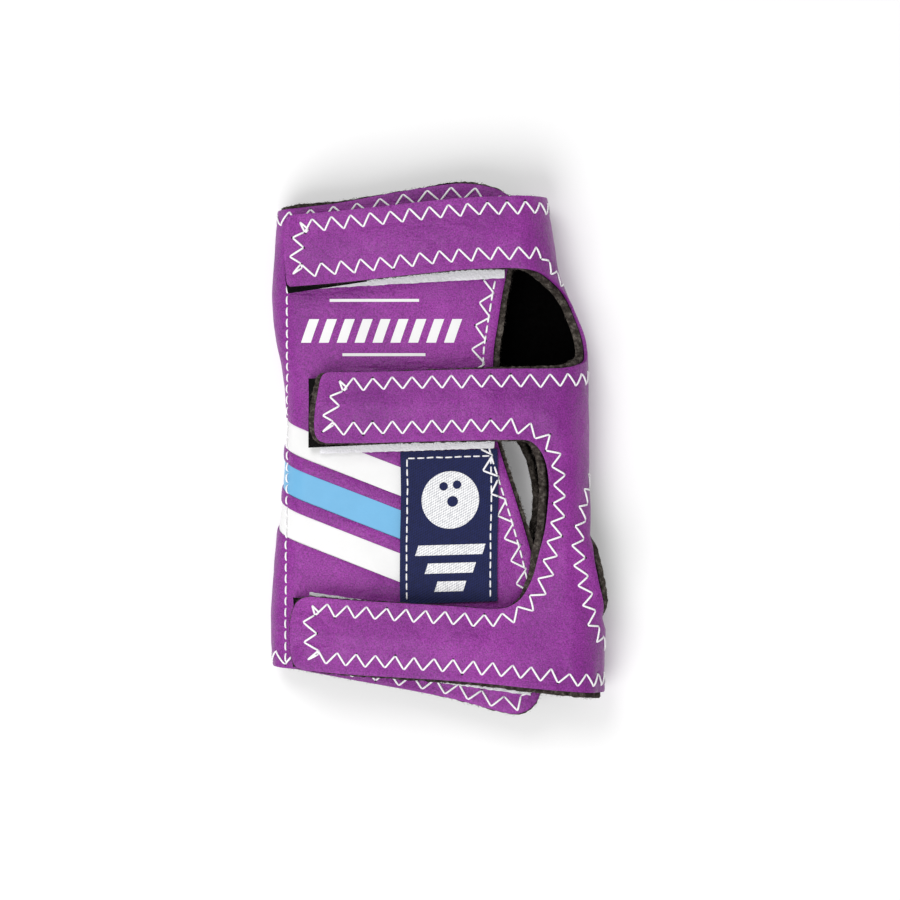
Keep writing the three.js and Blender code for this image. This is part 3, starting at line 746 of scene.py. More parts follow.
def sewn(line, step):
    """The same line with points a stitch apart as they lie in the rolled glove."""
    fine = resampled(line[:, :2], FINE_STEP)
    return spaced(fine, distances(rolled(fine[:, 0], fine[:, 1], 0)), step)


def zigzag_points(line, step, start):
    """Needle holes of a zigzag seam, first on one side of the line and then on the other."""
    even = sewn(line, step)
    side = start * np.where(np.arange(len(even)) % 2, 1.0, -1.0)[:, None]
    across = left_of(np.gradient(even, axis=0)) * side * ZIGZAG_WIDTH / 2
    return even + across + rng.normal(0, ZIGZAG_SHAKE, even.shape)


def dash_points(line, step=LOCK_STITCH):
    even = resampled(line[:, :2], step)
    return even + rng.normal(0, DASH_SHAKE, even.shape)


def round_seam(hole):
    """The seam round a hole, which starts and ends on its palm side."""
    half = len(hole) // 2
    return joined(hole[half:], hole[: half + 1])


def clear_run(hole, other, gap):
    """The part of the seam round a hole that keeps clear of another seam."""
    far = nearest(hole, other) > gap
    first = np.flatnonzero(far & ~np.roll(far, 1))[0]
    return np.roll(hole[:, :2], -first, axis=0)[: far.sum()]


def inset_line(line, distance):
    """An open line along an edge of the sheet, moved into the leather."""
    tried = offset_line(line, distance)
    middle_point = tried[len(tried) // 2][None]
    return tried if inside(middle_point, [outline])[0] else offset_line(line, -distance)


# Seams: how far each one lies in from the edge
STRAP_UPPER_INSET = 3.7
STRAP_LOWER_INSET = 4.6
OPENING_INSET = 3.5
THUMB_HOLE_INSET = 5.1
PALM_OPENING_INSET = 3.7
FLAP_INSET = 3.0
FLAP_EDGE_INSET = 4.6
FLAP_DASH_INSET = 3.0
FLAP_ZIGZAG_STEP = 3.7
LABEL_SEAM_INSET = 2.1
LABEL_STITCH = 3.0
CORNER_POINTS = 6  # left out where the flap's seam turns a corner
CORNER_TRIM = 6
DASH_TRIM = 8
FOLD_POINTS = 60
# The straight seam by the left fold: x and y of its ends, as shares of the halves
FOLD_SEAM = (-0.893, 0.88, -0.905, -0.81)

loops = turned([outline, thumb_hole(), palm_opening(), *[stripe_band(i, 0) for i in range(3)]])


# Where each strap's rows of stitches run, as shares of half the width: their start near the tip, then the
# ends of the upper row and of the lower row at the thumb side.
ROWS = {"top": (-0.79, 0.42, 0.62), "middle": (-0.612, 0.6, 0.45), "bottom": (-0.768, 0.3, 0.7)}


def strap_row(name, upper):
    """A row of stitches along a strap, from its tip to the thumb side."""
    strap = STRAPS[name]
    up = strap.width / 2 - STRAP_UPPER_INSET if upper else STRAP_LOWER_INSET - strap.width / 2
    start, upper_end, lower_end = (share * HALF_WIDTH for share in ROWS[name])
    return strap_line(strap, up, start, upper_end if upper else lower_end)


# The stitches across a strap's tip and the back-tacks at its two corners. Columns: share of the way down
# from the upper row's first needle hole to the lower row's, length right, length up.
TIP_STITCHES = [(0, 0, 0), (0.18, -3.6, 0), (0.51, 0.3, 0), (0.78, -4.0, 0), (1, 0, 0)]
UPPER_TACK = [(0, 0, 0), (0, -1.15, 3.1), (0, 1.2, 0.8), (0, 0, 0)]
LOWER_TACK = [(1, 0, 0), (1, -3.4, -3.1), (1, 0.1, -1.1), (1, 0, 0)]


def tip_holes(upper, lower, rows):
    """Needle holes near a strap's tip, from the first needle holes of its two rows."""
    down, right, up = np.array(rows, float).T
    spread = upper + (lower - upper) * down[:, None] + np.stack([-right, up], axis=-1)
    return spread + rng.normal(0, TIP_SHAKE, spread.shape)


def trimmed(line, length):
    """A line without its first and last few millimetres."""
    cut = round(length / TRIM_STEP)
    return resampled(line[:, :2], TRIM_STEP)[cut:-cut]


around_top = [
    (RIGHT.fold_end, fold_top - STRAP_UPPER_INSET),
    (RIGHT.back, BACK_TOP[1] * HALF_LENGTH - STRAP_UPPER_INSET),
    (-LEFT.back, BACK_TOP[0] * HALF_LENGTH - STRAP_UPPER_INSET),
]
around_bottom = [
    (-LEFT.back, BACK_BOTTOM[0] * HALF_LENGTH + STRAP_UPPER_INSET),
    (RIGHT.back, BACK_BOTTOM[1] * HALF_LENGTH + STRAP_UPPER_INSET),
    (RIGHT.fold_end, float(bottom.edge(HALF_WIDTH, -0.5)) + STRAP_LOWER_INSET),
]
flap_seam = joined(
    [(-LEFT.back, BACK_TOP[0] * HALF_LENGTH - FLAP_INSET)],
    inset_line(flap_run(FLAP_TOP), FLAP_INSET)[:-CORNER_POINTS],
    trimmed(inset_line(flap_run(FLAP_EDGE), FLAP_EDGE_INSET), CORNER_TRIM),
    inset_line(flap_run(FLAP_BOTTOM), FLAP_INSET)[CORNER_POINTS:],
    [(-LEFT.back, BACK_BOTTOM[0] * HALF_LENGTH + FLAP_INSET)],
)
# The seam beside the upper opening runs round the fold, out of sight from above.
# Columns: how far round from the thumb side's outermost line, y as a share of half the length.
UPPER_SEAM = [
    (9.5, 0.698), (5.5, 0.66), (2.0, 0.62), (-3.0, 0.55), (-5.0, 0.45), (-4.0, 0.34), (0.5, 0.278),
    (5, 0.262),
]
outermost = RIGHT.back + math.pi * RIGHT.radius / 2
upper_seam = smooth_run(np.array([(outermost + u, y * HALF_LENGTH) for u, y in UPPER_SEAM]), EDGE_STEP)
lower_seam = inset_line(opening_run(middle, bottom, LOWER_OPENING), OPENING_INSET)
palm_seam = clear_run(palm_opening(PALM_OPENING_INSET), thumb_hole(THUMB_HOLE_INSET), ZIGZAG_WIDTH)

# Columns: seam line, step, which side its first needle hole is on.
zigzag_seams = [
    (joined(strap_row("top", True), around_top), ZIGZAG_STEP, -1),
    (flap_seam, FLAP_ZIGZAG_STEP, 1),
    (joined(around_bottom, strap_row("bottom", False)[::-1]), ZIGZAG_STEP, 1),
    (joined(strap_row("top", False), upper_seam, strap_row("middle", True)[::-1]), ZIGZAG_STEP, 1),
    (joined(strap_row("middle", False), lower_seam, strap_row("bottom", True)[::-1]), ZIGZAG_STEP, 1),
    (round_seam(thumb_hole(THUMB_HOLE_INSET)), ZIGZAG_STEP, 1),
    (palm_seam, ZIGZAG_STEP, 1),
]
zigzag_holes = [zigzag_points(*seam) for seam in zigzag_seams]
# The seams that end at each strap's tip: the upper row's and the lower row's, each with whether at its end
TIP_SEAMS = {
    "top": ((0, False), (3, False)),
    "middle": ((3, True), (4, False)),
    "bottom": ((4, True), (2, True)),
}
for name, rows in TIP_SEAMS.items():
    middle_v = float(STRAPS[name].middle_line(ROWS[name][0] * HALF_WIDTH))
    corner_holes = []
    for seam, at_end in rows:
        holes = zigzag_holes[seam][::-1] if at_end else zigzag_holes[seam]
        if abs(holes[0, 1] - middle_v) > abs(holes[1, 1] - middle_v):
            holes = holes[1:]
        zigzag_holes[seam] = holes[::-1] if at_end else holes
        corner_holes.append(holes[0])
    zigzag_holes += [tip_holes(*corner_holes, shape) for shape in (TIP_STITCHES, UPPER_TACK, LOWER_TACK)]

fold_y = np.linspace(FOLD_SEAM[1], FOLD_SEAM[3], FOLD_POINTS) * HALF_LENGTH
fold_x = np.linspace(FOLD_SEAM[0], FOLD_SEAM[2], FOLD_POINTS) * HALF_WIDTH
fold_seam = np.stack(seen(LEFT, fold_x, fold_y), axis=-1)
flap_dashes = trimmed(inset_line(flap_run(FLAP_EDGE), FLAP_DASH_INSET), DASH_TRIM)
dash_holes = [dash_points(fold_seam), dash_points(flap_dashes)]
needle_holes = np.vstack([*zigzag_holes, *dash_holes])


# Relief of the leather's outer face, in millimetres
SEAM_PRESS = 0.16
SEAM_REACH = 2.2
BACK_PRESS = 0.46  # more, on the flat back, so that the glove doesn't lie on its stitches
BACK_REACH = 3.4
BACK_FADES = (LEFT.back - 2, LEFT.back + 4)
STRAP_PUFF = 1.1  # the straps swell between their seams
PUFF_REACH = (0.5, 7.5)
PUFF_SINK = 0.25  # the share of the puff that is taken off again at the seams
STRAPS_SET_IN = (RIGHT.fold_end - 14, RIGHT.fold_end + 4)
HOLE_PRESS = 0.24
HOLE_REACH = 0.7
EDGE_PRESS = 0.3
EDGE_REACH = 0.45
BROAD_SWELL = 0.1
CRUMPLE = 0.045
SWELL_LIMITS = (-0.3, 0.17)
broad = waves(count=9, longest=70, shortest=24, seed=3)
crumple = waves(count=12, longest=14, shortest=5, seed=5)
seam_lines = [line for line, _, _ in zigzag_seams] + [fold_seam]
seam_points = np.vstack([resampled(line, SEAM_LINE_STEP) for line in seam_lines])
edges = np.vstack(loops)


def relief(u, v):
    """How far the leather's face stands out at pattern points."""
    points = np.stack([np.ravel(u), np.ravel(v)], axis=-1)
    to_seam = nearest(points, seam_points)
    along, across = points.T
    up = np.clip(BROAD_SWELL * broad(along, across) + CRUMPLE * crumple(along, across), *SWELL_LIMITS)
    on_back = 1 - smoothstep(np.abs(along), *BACK_FADES)
    on_strap = smoothstep(along, *STRAPS_SET_IN)
    up -= on_back * (np.maximum(up, 0) + BACK_PRESS * np.exp(-((to_seam / BACK_REACH) ** 4)))
    up += STRAP_PUFF * on_strap * (smoothstep(to_seam, *PUFF_REACH) - PUFF_SINK)
    up -= SEAM_PRESS * np.exp(-((to_seam / SEAM_REACH) ** 2))
    up -= HOLE_PRESS * np.exp(-((nearest(points, needle_holes) / HOLE_REACH) ** 2))
    up -= EDGE_PRESS * np.exp(-nearest(points, edges) / EDGE_REACH)
    return up.reshape(np.shape(u))


# Meshes

def new_mesh(name, points, faces, smooth_angle=50):
    """An object from points in millimetres and faces."""
    mesh = bpy.data.meshes.new(name)
    mesh.from_pydata(np.asarray(points) * MM, [], faces)
    mesh.polygons.foreach_set("use_smooth", [True] * len(mesh.polygons))
    mesh.set_sharp_from_angle(angle=math.radians(smooth_angle))
    mesh.update()
    made = bpy.data.objects.new(name, mesh)
    bpy.context.scene.collection.objects.link(made)
    return made


GRID_CLEAR = 0.45  # share of its spacing that the grid keeps clear of the rim
EXTRA_CLEAR = (0.2, 0.55)  # how far extra points keep from the rim, and the grid from them
TOLERANCE = 1e-5


def triangulated(parts, spacing, rim, extra):
    """Points and triangles that fill the loops, with a row of points a rim's width in from each edge."""
    edge = joined(*parts)
    rings = [moved_out(p, -rim if i == 0 else rim) for i, p in enumerate(parts)]
    filling = grid_inside(parts, spacing)
    filling = filling[nearest(filling, edge) > rim + GRID_CLEAR * spacing]
    if extra is not None:
        extra = extra[inside(extra, parts)]
        extra = extra[nearest(extra, edge) > rim + EXTRA_CLEAR[0]]
        filling = joined(filling[nearest(filling, extra) > EXTRA_CLEAR[1]], extra)
    wires = []
    first = 0
    for loop in parts + rings:
        wires += [(first + i, first + (i + 1) % len(loop)) for i in range(len(loop))]
        first += len(loop)
    points = [Vector(p) for p in joined(*parts, *rings, filling).tolist()]
    flat, _, faces, _, _, _ = delaunay_2d_cdt(points, wires, [], 0, TOLERANCE)
    flat = np.array([tuple(p) for p in flat])
    faces = np.array(faces)
    faces = faces[inside(flat[faces].mean(axis=1), parts)]
    a, b, c = (flat[faces[:, i]] for i in range(3))
    flip = (b[:, 0] - a[:, 0]) * (c[:, 1] - a[:, 1]) - (b[:, 1] - a[:, 1]) * (c[:, 0] - a[:, 0]) < 0
    faces[flip] = faces[flip][:, ::-1]
    used, faces = np.unique(faces, return_inverse=True)
    return flat[used], faces.reshape(-1, 3)


def sheet_mesh(name, parts, outer, inner, spacing, up=None, rim=0.3, extra=None, rough=0.0, ragged=0.0):
    """A bent sheet between two depths below the leather's face. up gives the outer face's relief.

    Its "pattern" attribute holds u, v and the distance to the nearest edge.
    """
    parts = turned(parts)
    if ragged:
        parts = [moved_out(p, rng.uniform(-ragged, 0.6 * ragged, len(p))) for p in parts]
    flat, faces = triangulated(parts, spacing, rim, extra)
    count = len(flat)
    sides = np.vstack([faces[:, [0, 1]], faces[:, [1, 2]], faces[:, [2, 0]]])
    known = set(map(tuple, sides.tolist()))
    u, v = flat.T
    noise = rng.normal(0, 1, (2, count)) * rough
    over = rolled(u, v, outer - (up(u, v) if up else 0) - noise[0])
    below = rolled(u, v, inner + noise[1])
    everything = faces[:, [0, 2, 1]].tolist() + (faces + count).tolist()
    everything += [(i, j, j + count, i + count) for i, j in known if (j, i) not in known]
    made = new_mesh(name, np.vstack([over, below]), everything)
    pattern = made.data.attributes.new("pattern", "FLOAT_VECTOR", "POINT")
    rows = np.column_stack([u, v, nearest(flat, joined(*parts))])
    pattern.data.foreach_set("vector", np.tile(rows, (2, 1)).ravel())
    return made


def tubes_mesh(name, line, across, other, radius, sides):
    """Thin tubes, each along a row of line's points. across and other span their sections."""
    turn = round_turn(sides)[:, None]
    ring = across[:, :, None] * np.cos(turn) + other[:, :, None] * np.sin(turn)
    points = line[:, :, None] + ring * radius[:, None, None]
    count, stations = line.shape[:2]
    per = stations * sides
    station = np.arange(stations - 1)[:, None] * sides
    here = station + np.arange(sides)
    after = station + (np.arange(sides) + 1) % sides
    quads = np.stack([here, after, after + sides, here + sides], axis=-1)
    faces = (np.arange(count)[:, None, None, None] * per + quads).reshape(-1, 4).tolist()
    for first in range(0, count * per, per):
        faces.append([first + i for i in reversed(range(sides))])
        faces.append([first + per - sides + i for i in range(sides)])
    return new_mesh(name, points.reshape(-1, 3), faces, 80)


THREAD_STATIONS = 9
THREAD_SIDES = 8
THREAD_FLATNESS = 0.85
THREAD_PROUD = 0.75  # share of its radius that a stitch's middle line stands above the face
THREAD_END = 0.75  # a stitch's thickness at its ends, as a share
BOW_POWER = 0.3  # the lower, the squarer a stitch bows
TWIST_SHIFT = 1.7  # how far the yarn's twist is shifted from one stitch to the next


def thread_mesh(name, holes, face, diameter=THREAD, sink=0.55, short=0.0):
    """Stitches from needle hole to needle hole, each a thread that bows over a face and dives in at its ends.

    short is the share of its length that a stitch is cut short by at each end.
    """
    start = np.vstack([h[:-1] for h in holes])
    end = np.vstack([h[1:] for h in holes])
    share = np.linspace(0, 1, THREAD_STATIONS)
    reach = short + (1 - 2 * short) * share
    u = start[:, None, 0] + (end - start)[:, None, 0] * reach
    v = start[:, None, 1] + (end - start)[:, None, 1] * reach
    radius = diameter / 2
    bow = np.sin(math.pi * share) ** BOW_POWER
    depth = -face(u, v) - radius * (THREAD_PROUD * bow - sink * (1 - bow))
    line = rolled(u, v, depth)
    outwards = unit(rolled(u, v, depth - 0.2) - line)
    aside = unit(np.cross(np.gradient(line, axis=1), outwards))
    taper = radius * (THREAD_END + (1 - THREAD_END) * np.sqrt(np.sin(math.pi * share)))
    made = tubes_mesh(name, line, aside, outwards * THREAD_FLATNESS, taper, THREAD_SIDES)
    along = made.data.attributes.new("along", "FLOAT", "POINT")
    run = np.linalg.norm(end - start, axis=1)[:, None] * share + np.arange(len(start))[:, None] * TWIST_SHIFT
    along.data.foreach_set("value", np.repeat(run.ravel(), THREAD_SIDES))
    return made


FIBRE_STATIONS = 4
FIBRE_SIDES = 3
FIBRE_RADIUS = 0.055
FIBRE_ROOT = 0.25  # how deep in the felt a fibre starts
FIBRE_MARGIN = 0.15  # and how far from the felt's faces
FIBRE_LEAN = 0.7  # typical sideways run, as a share of the length
FIBRE_CURL = 0.8
FIBRE_RISE = 0.3  # typical run up or down
FIBRE_TAPER = 0.75
FIBRE_LEAST_DEPTH = 0.3
FIBRE_ASIDE = (0.31, 0.17, 0.94)  # any way that no fibre runs


def fuzz_mesh(name, parts, per_mm, shortest, longest):
    """Loose felt fibres that stand out of the cut edges."""
    roots, ways = [], []
    for edge in turned(parts):
        at = rng.uniform(0, len(edge), round(distances(edge[:, :2])[-1] * per_mm))
        i = at.astype(int)
        share = (at - i)[:, None]
        after = edge[(i + 1) % len(edge), :2]
        roots.append(edge[i, :2] * (1 - share) + after * share)
        ways.append(unit(after - edge[i, :2]))
    root, ahead = np.vstack(roots), np.vstack(ways)
    count = len(root)
    length = rng.uniform(shortest, longest, count)[:, None, None]
    lean = rng.normal(0, FIBRE_LEAN, count)[:, None, None]
    curl = rng.normal(0, FIBRE_CURL, count)[:, None, None]
    share = np.linspace(0, 1, FIBRE_STATIONS)
    t = share[:, None]
    place = root[:, None] - left_of(ahead)[:, None] * (length * t - FIBRE_ROOT)
    place = place + ahead[:, None] * length * (lean * t + curl * t * t)
    depth = rng.uniform(LEATHER + SEAM + FIBRE_MARGIN, WALL - FIBRE_MARGIN, count)[:, None]
    depth = depth + rng.normal(0, FIBRE_RISE, count)[:, None] * share
    depth = np.maximum(depth, FIBRE_LEAST_DEPTH)
    line = rolled(place[..., 0], place[..., 1], depth)
    along = unit(np.gradient(line, axis=1))
    aside = unit(np.cross(along, FIBRE_ASIDE))
    taper = FIBRE_RADIUS * (1 - FIBRE_TAPER * share)
    return tubes_mesh(name, line, aside, np.cross(along, aside), taper, FIBRE_SIDES)


DISC_SIDES = 8
DISC_RAISE = 0.03
DISC_SINK = 0.12


def disc_mesh(name, centres, radii, face):
    """Small flat discs on a face."""
    turn = round_turn(DISC_SIDES)
    u = centres[:, None, 0] + radii[:, None] * np.cos(turn)
    v = centres[:, None, 1] + radii[:, None] * np.sin(turn)
    up = face(u, v)
    rings = [rolled(u, v, -up - DISC_RAISE), rolled(u, v, -up + DISC_SINK)]
    points = np.concatenate(rings, axis=1).reshape(-1, 3)
    faces = []
    for k in range(0, len(points), 2 * DISC_SIDES):
        over = [k + j for j in range(DISC_SIDES)]
        below = [i + DISC_SIDES for i in over]
        faces += [over[::-1], below]
        faces += [(over[j - 1], over[j], below[j], below[j - 1]) for j in range(DISC_SIDES)]
    return new_mesh(name, points, faces, 30)


# Materials

class Nodes:
    """A short way to write a node material."""

    def __init__(self, name, color, roughness, **values):
        self.material = bpy.data.materials.new(name)
        self.material.use_nodes = True
        self.tree = self.material.node_tree
        self.shader = self.tree.nodes["Principled BSDF"]
        self.shader.inputs["Base Color"].default_value = (*color, 1)
        self.shader.inputs["Roughness"].default_value = roughness
        for key, value in values.items():
            self.shader.inputs[key.replace("_", " ").title().replace("Ior", "IOR")].default_value = value

    def add(self, kind, links=(), **settings):
        node = self.tree.nodes.new(kind)
        for key, value in settings.items():
            if hasattr(node, key):
                setattr(node, key, value)
            else:
                node.inputs[key.replace("_", " ").title()].default_value = value
        for target, source in dict(links).items():
            self.tree.links.new(source, node.inputs[target])
        return node

    def place(self):
        return self.add("ShaderNodeTexCoord").outputs["Object"]

    def pattern(self):
        """u, v and the distance to the edge, as X, Y and Z."""
        where = self.add("ShaderNodeAttribute", attribute_name="pattern").outputs["Vector"]
        return self.add("ShaderNodeSeparateXYZ", {"Vector": where}).outputs

    def noise(self, scale, detail=2, roughness=0.5, place=None, distortion=0.0):
        values = {"scale": scale, "detail": detail, "roughness": roughness, "distortion": distortion}
        return self.add("ShaderNodeTexNoise", {"Vector": place or self.place()}, **values).outputs["Fac"]

    def cells(self, scale, feature):
        links = {"Vector": self.place()}
        return self.add("ShaderNodeTexVoronoi", links, feature=feature, scale=scale).outputs["Distance"]

    def ramp(self, source, *stops):
        node = self.add("ShaderNodeValToRGB", {"Fac": source})
        ramp = node.color_ramp
        while len(ramp.elements) < len(stops):
            ramp.elements.new(0.5)
        for element, (at, color) in zip(ramp.elements, stops):
            element.position = at
            element.color = (*color, 1)
        return node.outputs["Color"]

    def feed(self, target, value):
        """Another node's output linked to a socket, or a number set on it."""
        if isinstance(value, bpy.types.NodeSocket):
            self.tree.links.new(value, target)
        else:
            target.default_value = value

    def mix(self, share, a, b, kind="MIX"):
        node = self.add("ShaderNodeMix", data_type="RGBA", blend_type=kind)
        for socket, value in (("Factor", share), ("A", a), ("B", b)):
            self.feed([s for s in node.inputs if s.name == socket and s.enabled][0], value)
        return [s for s in node.outputs if s.enabled][0]

    def math(self, kind, a, b=0.0):
        node = self.add("ShaderNodeMath", operation=kind)
        self.feed(node.inputs[0], a)
        self.feed(node.inputs[1], b)
        return node.outputs[0]

    def plus(self, base, source, times):
        """A value plus a number of times another."""
        return self.math("ADD", base, self.math("MULTIPLY", source, times))

    def bump(self, height, distance, strength=1.0, under=None):
        links = {"Height": height, "Normal": under} if under else {"Height": height}
        return self.add("ShaderNodeBump", links, distance=distance, strength=strength).outputs["Normal"]

    def set(self, socket, source):
        self.tree.links.new(source, self.shader.inputs[socket])


def leather_material():
    m = Nodes("purple_leather", (0.24, 0.026, 0.262), 0.4, specular_ior_level=0.34)
    tone = m.ramp(m.noise(38, 3, 0.55), (0.3, (0.200, 0.017, 0.226)), (0.7, (0.292, 0.031, 0.314)))
    fleck = m.noise(2300, 2, 0.6)
    tone = m.mix(0.75, tone, m.ramp(fleck, (0.3, (0.4, 0.38, 0.4)), (0.7, (1.5, 1.65, 1.5))), "MULTIPLY")
    m.set("Base Color", tone)
    pores = m.math("MINIMUM", m.cells(1700, "DISTANCE_TO_EDGE"), 0.25)
    grain = m.bump(pores, 0.00018, 0.9)
    creased = m.bump(m.noise(240, 6, 0.62, distortion=0.8), 0.0008, 0.6, grain)
    stretched = m.add("ShaderNodeVectorMath", {0: m.place()}, operation="MULTIPLY")
    stretched.inputs[1].default_value = (0.28, 1, 1)
    ripples = m.noise(430, 3, 0.55, stretched.outputs[0])
    patches = m.ramp(m.noise(55, 1, 0.5), (0.45, (0, 0, 0)), (0.62, (1, 1, 1)))
    m.set("Normal", m.bump(m.math("MULTIPLY", ripples, patches), 0.0012, 0.7, creased))
    m.set("Roughness", m.plus(0.27, m.noise(420, 3), 0.24))
    return m.material


def felt_material():
    """Felt whose colour carries painted light and shade: a lighter, mottled grey-brown within about two millimetres of
    its edges as painted light on the lit rim, and near black further in, darker than the black felt itself, as painted
    shade for the glove's dark inside.
    """
    m = Nodes("black_felt", (0.002, 0.0018, 0.0018), 0.95, specular_ior_level=0.02)
    mottle = m.noise(620, 4, 0.75)
    # Painted shade: the felt's face away from its edges, near black like the shaded inside of the glove.
    face = m.ramp(mottle, (0.35, (0.0006, 0.0005, 0.0005)), (0.7, (0.002, 0.0018, 0.0018)))
    # Painted light: the lighter grey-brown tones of the lit rim along the felt's edges.
    fibres = [(0.3, (0.012, 0.010, 0.008)), (0.5, (0.052, 0.044, 0.038)), (0.7, (0.17, 0.15, 0.13))]
    cut = m.ramp(mottle, *fibres)
    # Where the painted light of the rim gives way to the painted shade: the distance to the edge, roughened by noise.
    ragged = m.plus(m.pattern()["Z"], m.noise(900, 3, 0.7), 1.4)
    inner = m.ramp(m.math("MULTIPLY", ragged, 0.25), (0.55, (0, 0, 0)), (0.8, (1, 1, 1)))
    m.set("Base Color", m.mix(inner, cut, face))
    hairs = m.noise(1900, 3, 0.7)
    m.set("Normal", m.bump(hairs, 0.0004, 0.9, m.bump(mottle, 0.0006, 0.7)))
    return m.material


def fibre_material():
    m = Nodes("felt_fibre", (0.03, 0.026, 0.023), 0.9, specular_ior_level=0.1)
    m.set("Base Color", m.ramp(m.noise(400, 2), (0.35, (0.006, 0.005, 0.005)), (0.7, (0.10, 0.085, 0.075))))
    return m.material


def vinyl_material(name, color):
    m = Nodes(name, color, 0.38)
    faint = m.ramp(m.noise(90, 3), (0.3, tuple(0.95 * c for c in color)), (0.7, color))
    m.set("Base Color", faint)
    m.set("Roughness", m.plus(0.3, m.noise(500, 2), 0.16))
    m.set("Normal", m.bump(m.noise(300, 3), 0.0002, 0.25))
    return m.material


def tape_material(name, dark, light, size, height):
    """Hook or loop tape: a dense pile of small loops."""
    m = Nodes(name, light, 0.9, specular_ior_level=0.15)
    pile = m.math("ADD", m.cells(size, "F1"), m.noise(size * 1.3, 3, 0.7))
    m.set("Base Color", m.ramp(pile, (0.35, light), (1.1, dark)))
    m.set("Normal", m.bump(pile, height, 0.8))
    return m.material


def woven_material(name, color, thread_count):
    """Satin weave: fine threads along the cloth, tied down in slanting steps."""
    m = Nodes(name, color, 0.65, specular_ior_level=0.25)
    split = m.pattern()
    warp = m.math("SINE", m.math("MULTIPLY", split["X"], thread_count))
    slant = m.plus(split["Y"], split["X"], 0.6)
    twill = m.math("SINE", m.math("MULTIPLY", slant, thread_count * 0.8))
    weave = m.plus(m.math("MULTIPLY", warp, 0.2), twill, 0.3)
    height = m.math("ADD", weave, m.noise(900, 2))
    dark = tuple(0.6 * c for c in color)
    light = tuple(min(1.0, 1.3 * c) for c in color)
    m.set("Base Color", m.ramp(height, (0.1, dark), (0.9, light)))
    m.set("Normal", m.bump(height, 0.00012, 0.8))
    return m.material


def thread_material():
    m = Nodes("white_thread", (0.93, 0.92, 0.93), 0.6, specular_ior_level=0.3)
    along = m.add("ShaderNodeAttribute", attribute_name="along").outputs["Fac"]
    place = m.add("ShaderNodeSeparateXYZ", {"Vector": m.place()})
    twist = m.math("SINE", m.plus(m.math("MULTIPLY", along, 9.0), place.outputs["Z"], 5000.0))
    m.set("Base Color", m.ramp(twist, (0.0, (0.88, 0.87, 0.89)), (0.5, (0.96, 0.95, 0.95))))
    m.set("Normal", m.bump(twist, 0.00004, 0.5))
    return m.material


# Painted shade: a dark purple that stands for the shaded hollows of the needle holes.
def hole_shade_material():
    m = Nodes("needle_hole_painted_shade", (0.012, 0.004, 0.014), 0.9)
    m.set("Base Color", m.ramp(m.noise(1500, 2), (0.3, (0.006, 0.002, 0.008)), (0.8, (0.03, 0.01, 0.035))))
    return m.material


def finish(piece, material, slot, node=None):
    piece.data.materials.append(material)
    if node:
        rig.replaces(piece, node)
    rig.slot(piece, slot)
    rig.ride(piece, "root")
    return piece


# Camera: straight above, as the photo was taken. The photo's frame spans VIEW at the glove's height.
LENS = 135
SENSOR = 36
VIEW = 281.25
LEVEL = 20
CENTRE = (3.7, -0.5)
camera_data = bpy.data.cameras.new("camera")
camera_data.lens = LENS
camera_data.sensor_width = SENSOR
camera = bpy.data.objects.new("camera", camera_data)
camera.location = (CENTRE[0] * MM, CENTRE[1] * MM, (LEVEL + VIEW * LENS / SENSOR) * MM)
bpy.context.scene.collection.objects.link(camera)
bpy.context.scene.camera = camera

purple = leather_material()
black_felt = felt_material()
white_vinyl = vinyl_material("white_vinyl", (0.84, 0.84, 0.835))
blue_vinyl = vinyl_material("blue_vinyl", (0.155, 0.44, 0.71))
loop_pile = tape_material("white_loop_pile", (0.84, 0.83, 0.87), (0.97, 0.96, 0.98), 1500, 0.00015)
hook_pile = tape_material("black_hook_weave", (0.002, 0.002, 0.002), (0.010, 0.009, 0.009), 1300, 0.0004)
navy = woven_material("navy_weave", (0.0062, 0.0105, 0.066), 9.0)
white_weave = woven_material("white_weave", (0.78, 0.79, 0.84), 9.0)
thread = thread_material()
# The painted shade of the needle holes.
dark = hole_shade_material()

DIMPLE = (0.75, 6)  # radius and number of the extra points round a needle hole
dimple = np.array(round_shape(0, 0, *DIMPLE))
dimples = joined(needle_holes, (needle_holes[:, None] + dimple).reshape(-1, 2))
leather = sheet_mesh("leather_glove", loops, 0, LEATHER, LEATHER_GRID, up=relief, rim=0.28, extra=dimples)
finish(leather, purple, "leather", "leather_shell")

felt_loops = [moved_out(outline, outline[:, 2])]
felt_loops += [moved_out(hole, -hole[:, 2]) for hole in (thumb_hole(), palm_opening())]
felt = sheet_mesh(
    "felt_lining_sheet", felt_loops, LEATHER + SEAM, WALL, FELT_GRID, rim=0.35, rough=0.05, ragged=0.24
)
finish(felt, black_felt, "felt", "felt_lining")
fuzz = fuzz_mesh("felt_fuzz", felt_loops, per_mm=1.9, shortest=0.3, longest=1.0)
finish(fuzz, fibre_material(), "felt")

# Columns: node, look, slot.
STRIPES = [
    ("stripe_white_upper", white_vinyl, "stripe_white"),
    ("stripe_blue", blue_vinyl, "stripe_blue"),
    ("stripe_white_lower", white_vinyl, "stripe_white"),
]
for i, (node, look, slot) in enumerate(STRIPES):
    band = [stripe_band(i, STRIPE_CLEARANCE)]
    strip = sheet_mesh(node + "_vinyl", band, LEATHER - STRIPE_THICKNESS, LEATHER, VINYL_GRID)
    finish(strip, look, slot, node)

tapes = []
for name in STRAPS:
    edge = patch(LEFT, LOOP_TAPE, LOOP_ENDS[name])
    depths = (-SEAM - TAPE, -SEAM)
    loop = sheet_mesh("loop_tape_" + name, [edge], *depths, LOOP_GRID, rim=0.25, rough=0.05, ragged=0.15)
    tapes.append((finish(loop, loop_pile, "loop_tape", "loop_patch_" + name), edge))
    edge = patch(RIGHT, HOOK_TAPE, HOOK_ENDS[name])
    depths = (WALL + SEAM, WALL + SEAM + TAPE)
    hook = sheet_mesh("hook_tape_" + name, [edge], *depths, HOOK_GRID, rim=0.25)
    tapes.append((finish(hook, hook_pile, "hook_tape", "hook_patch_" + name), edge))

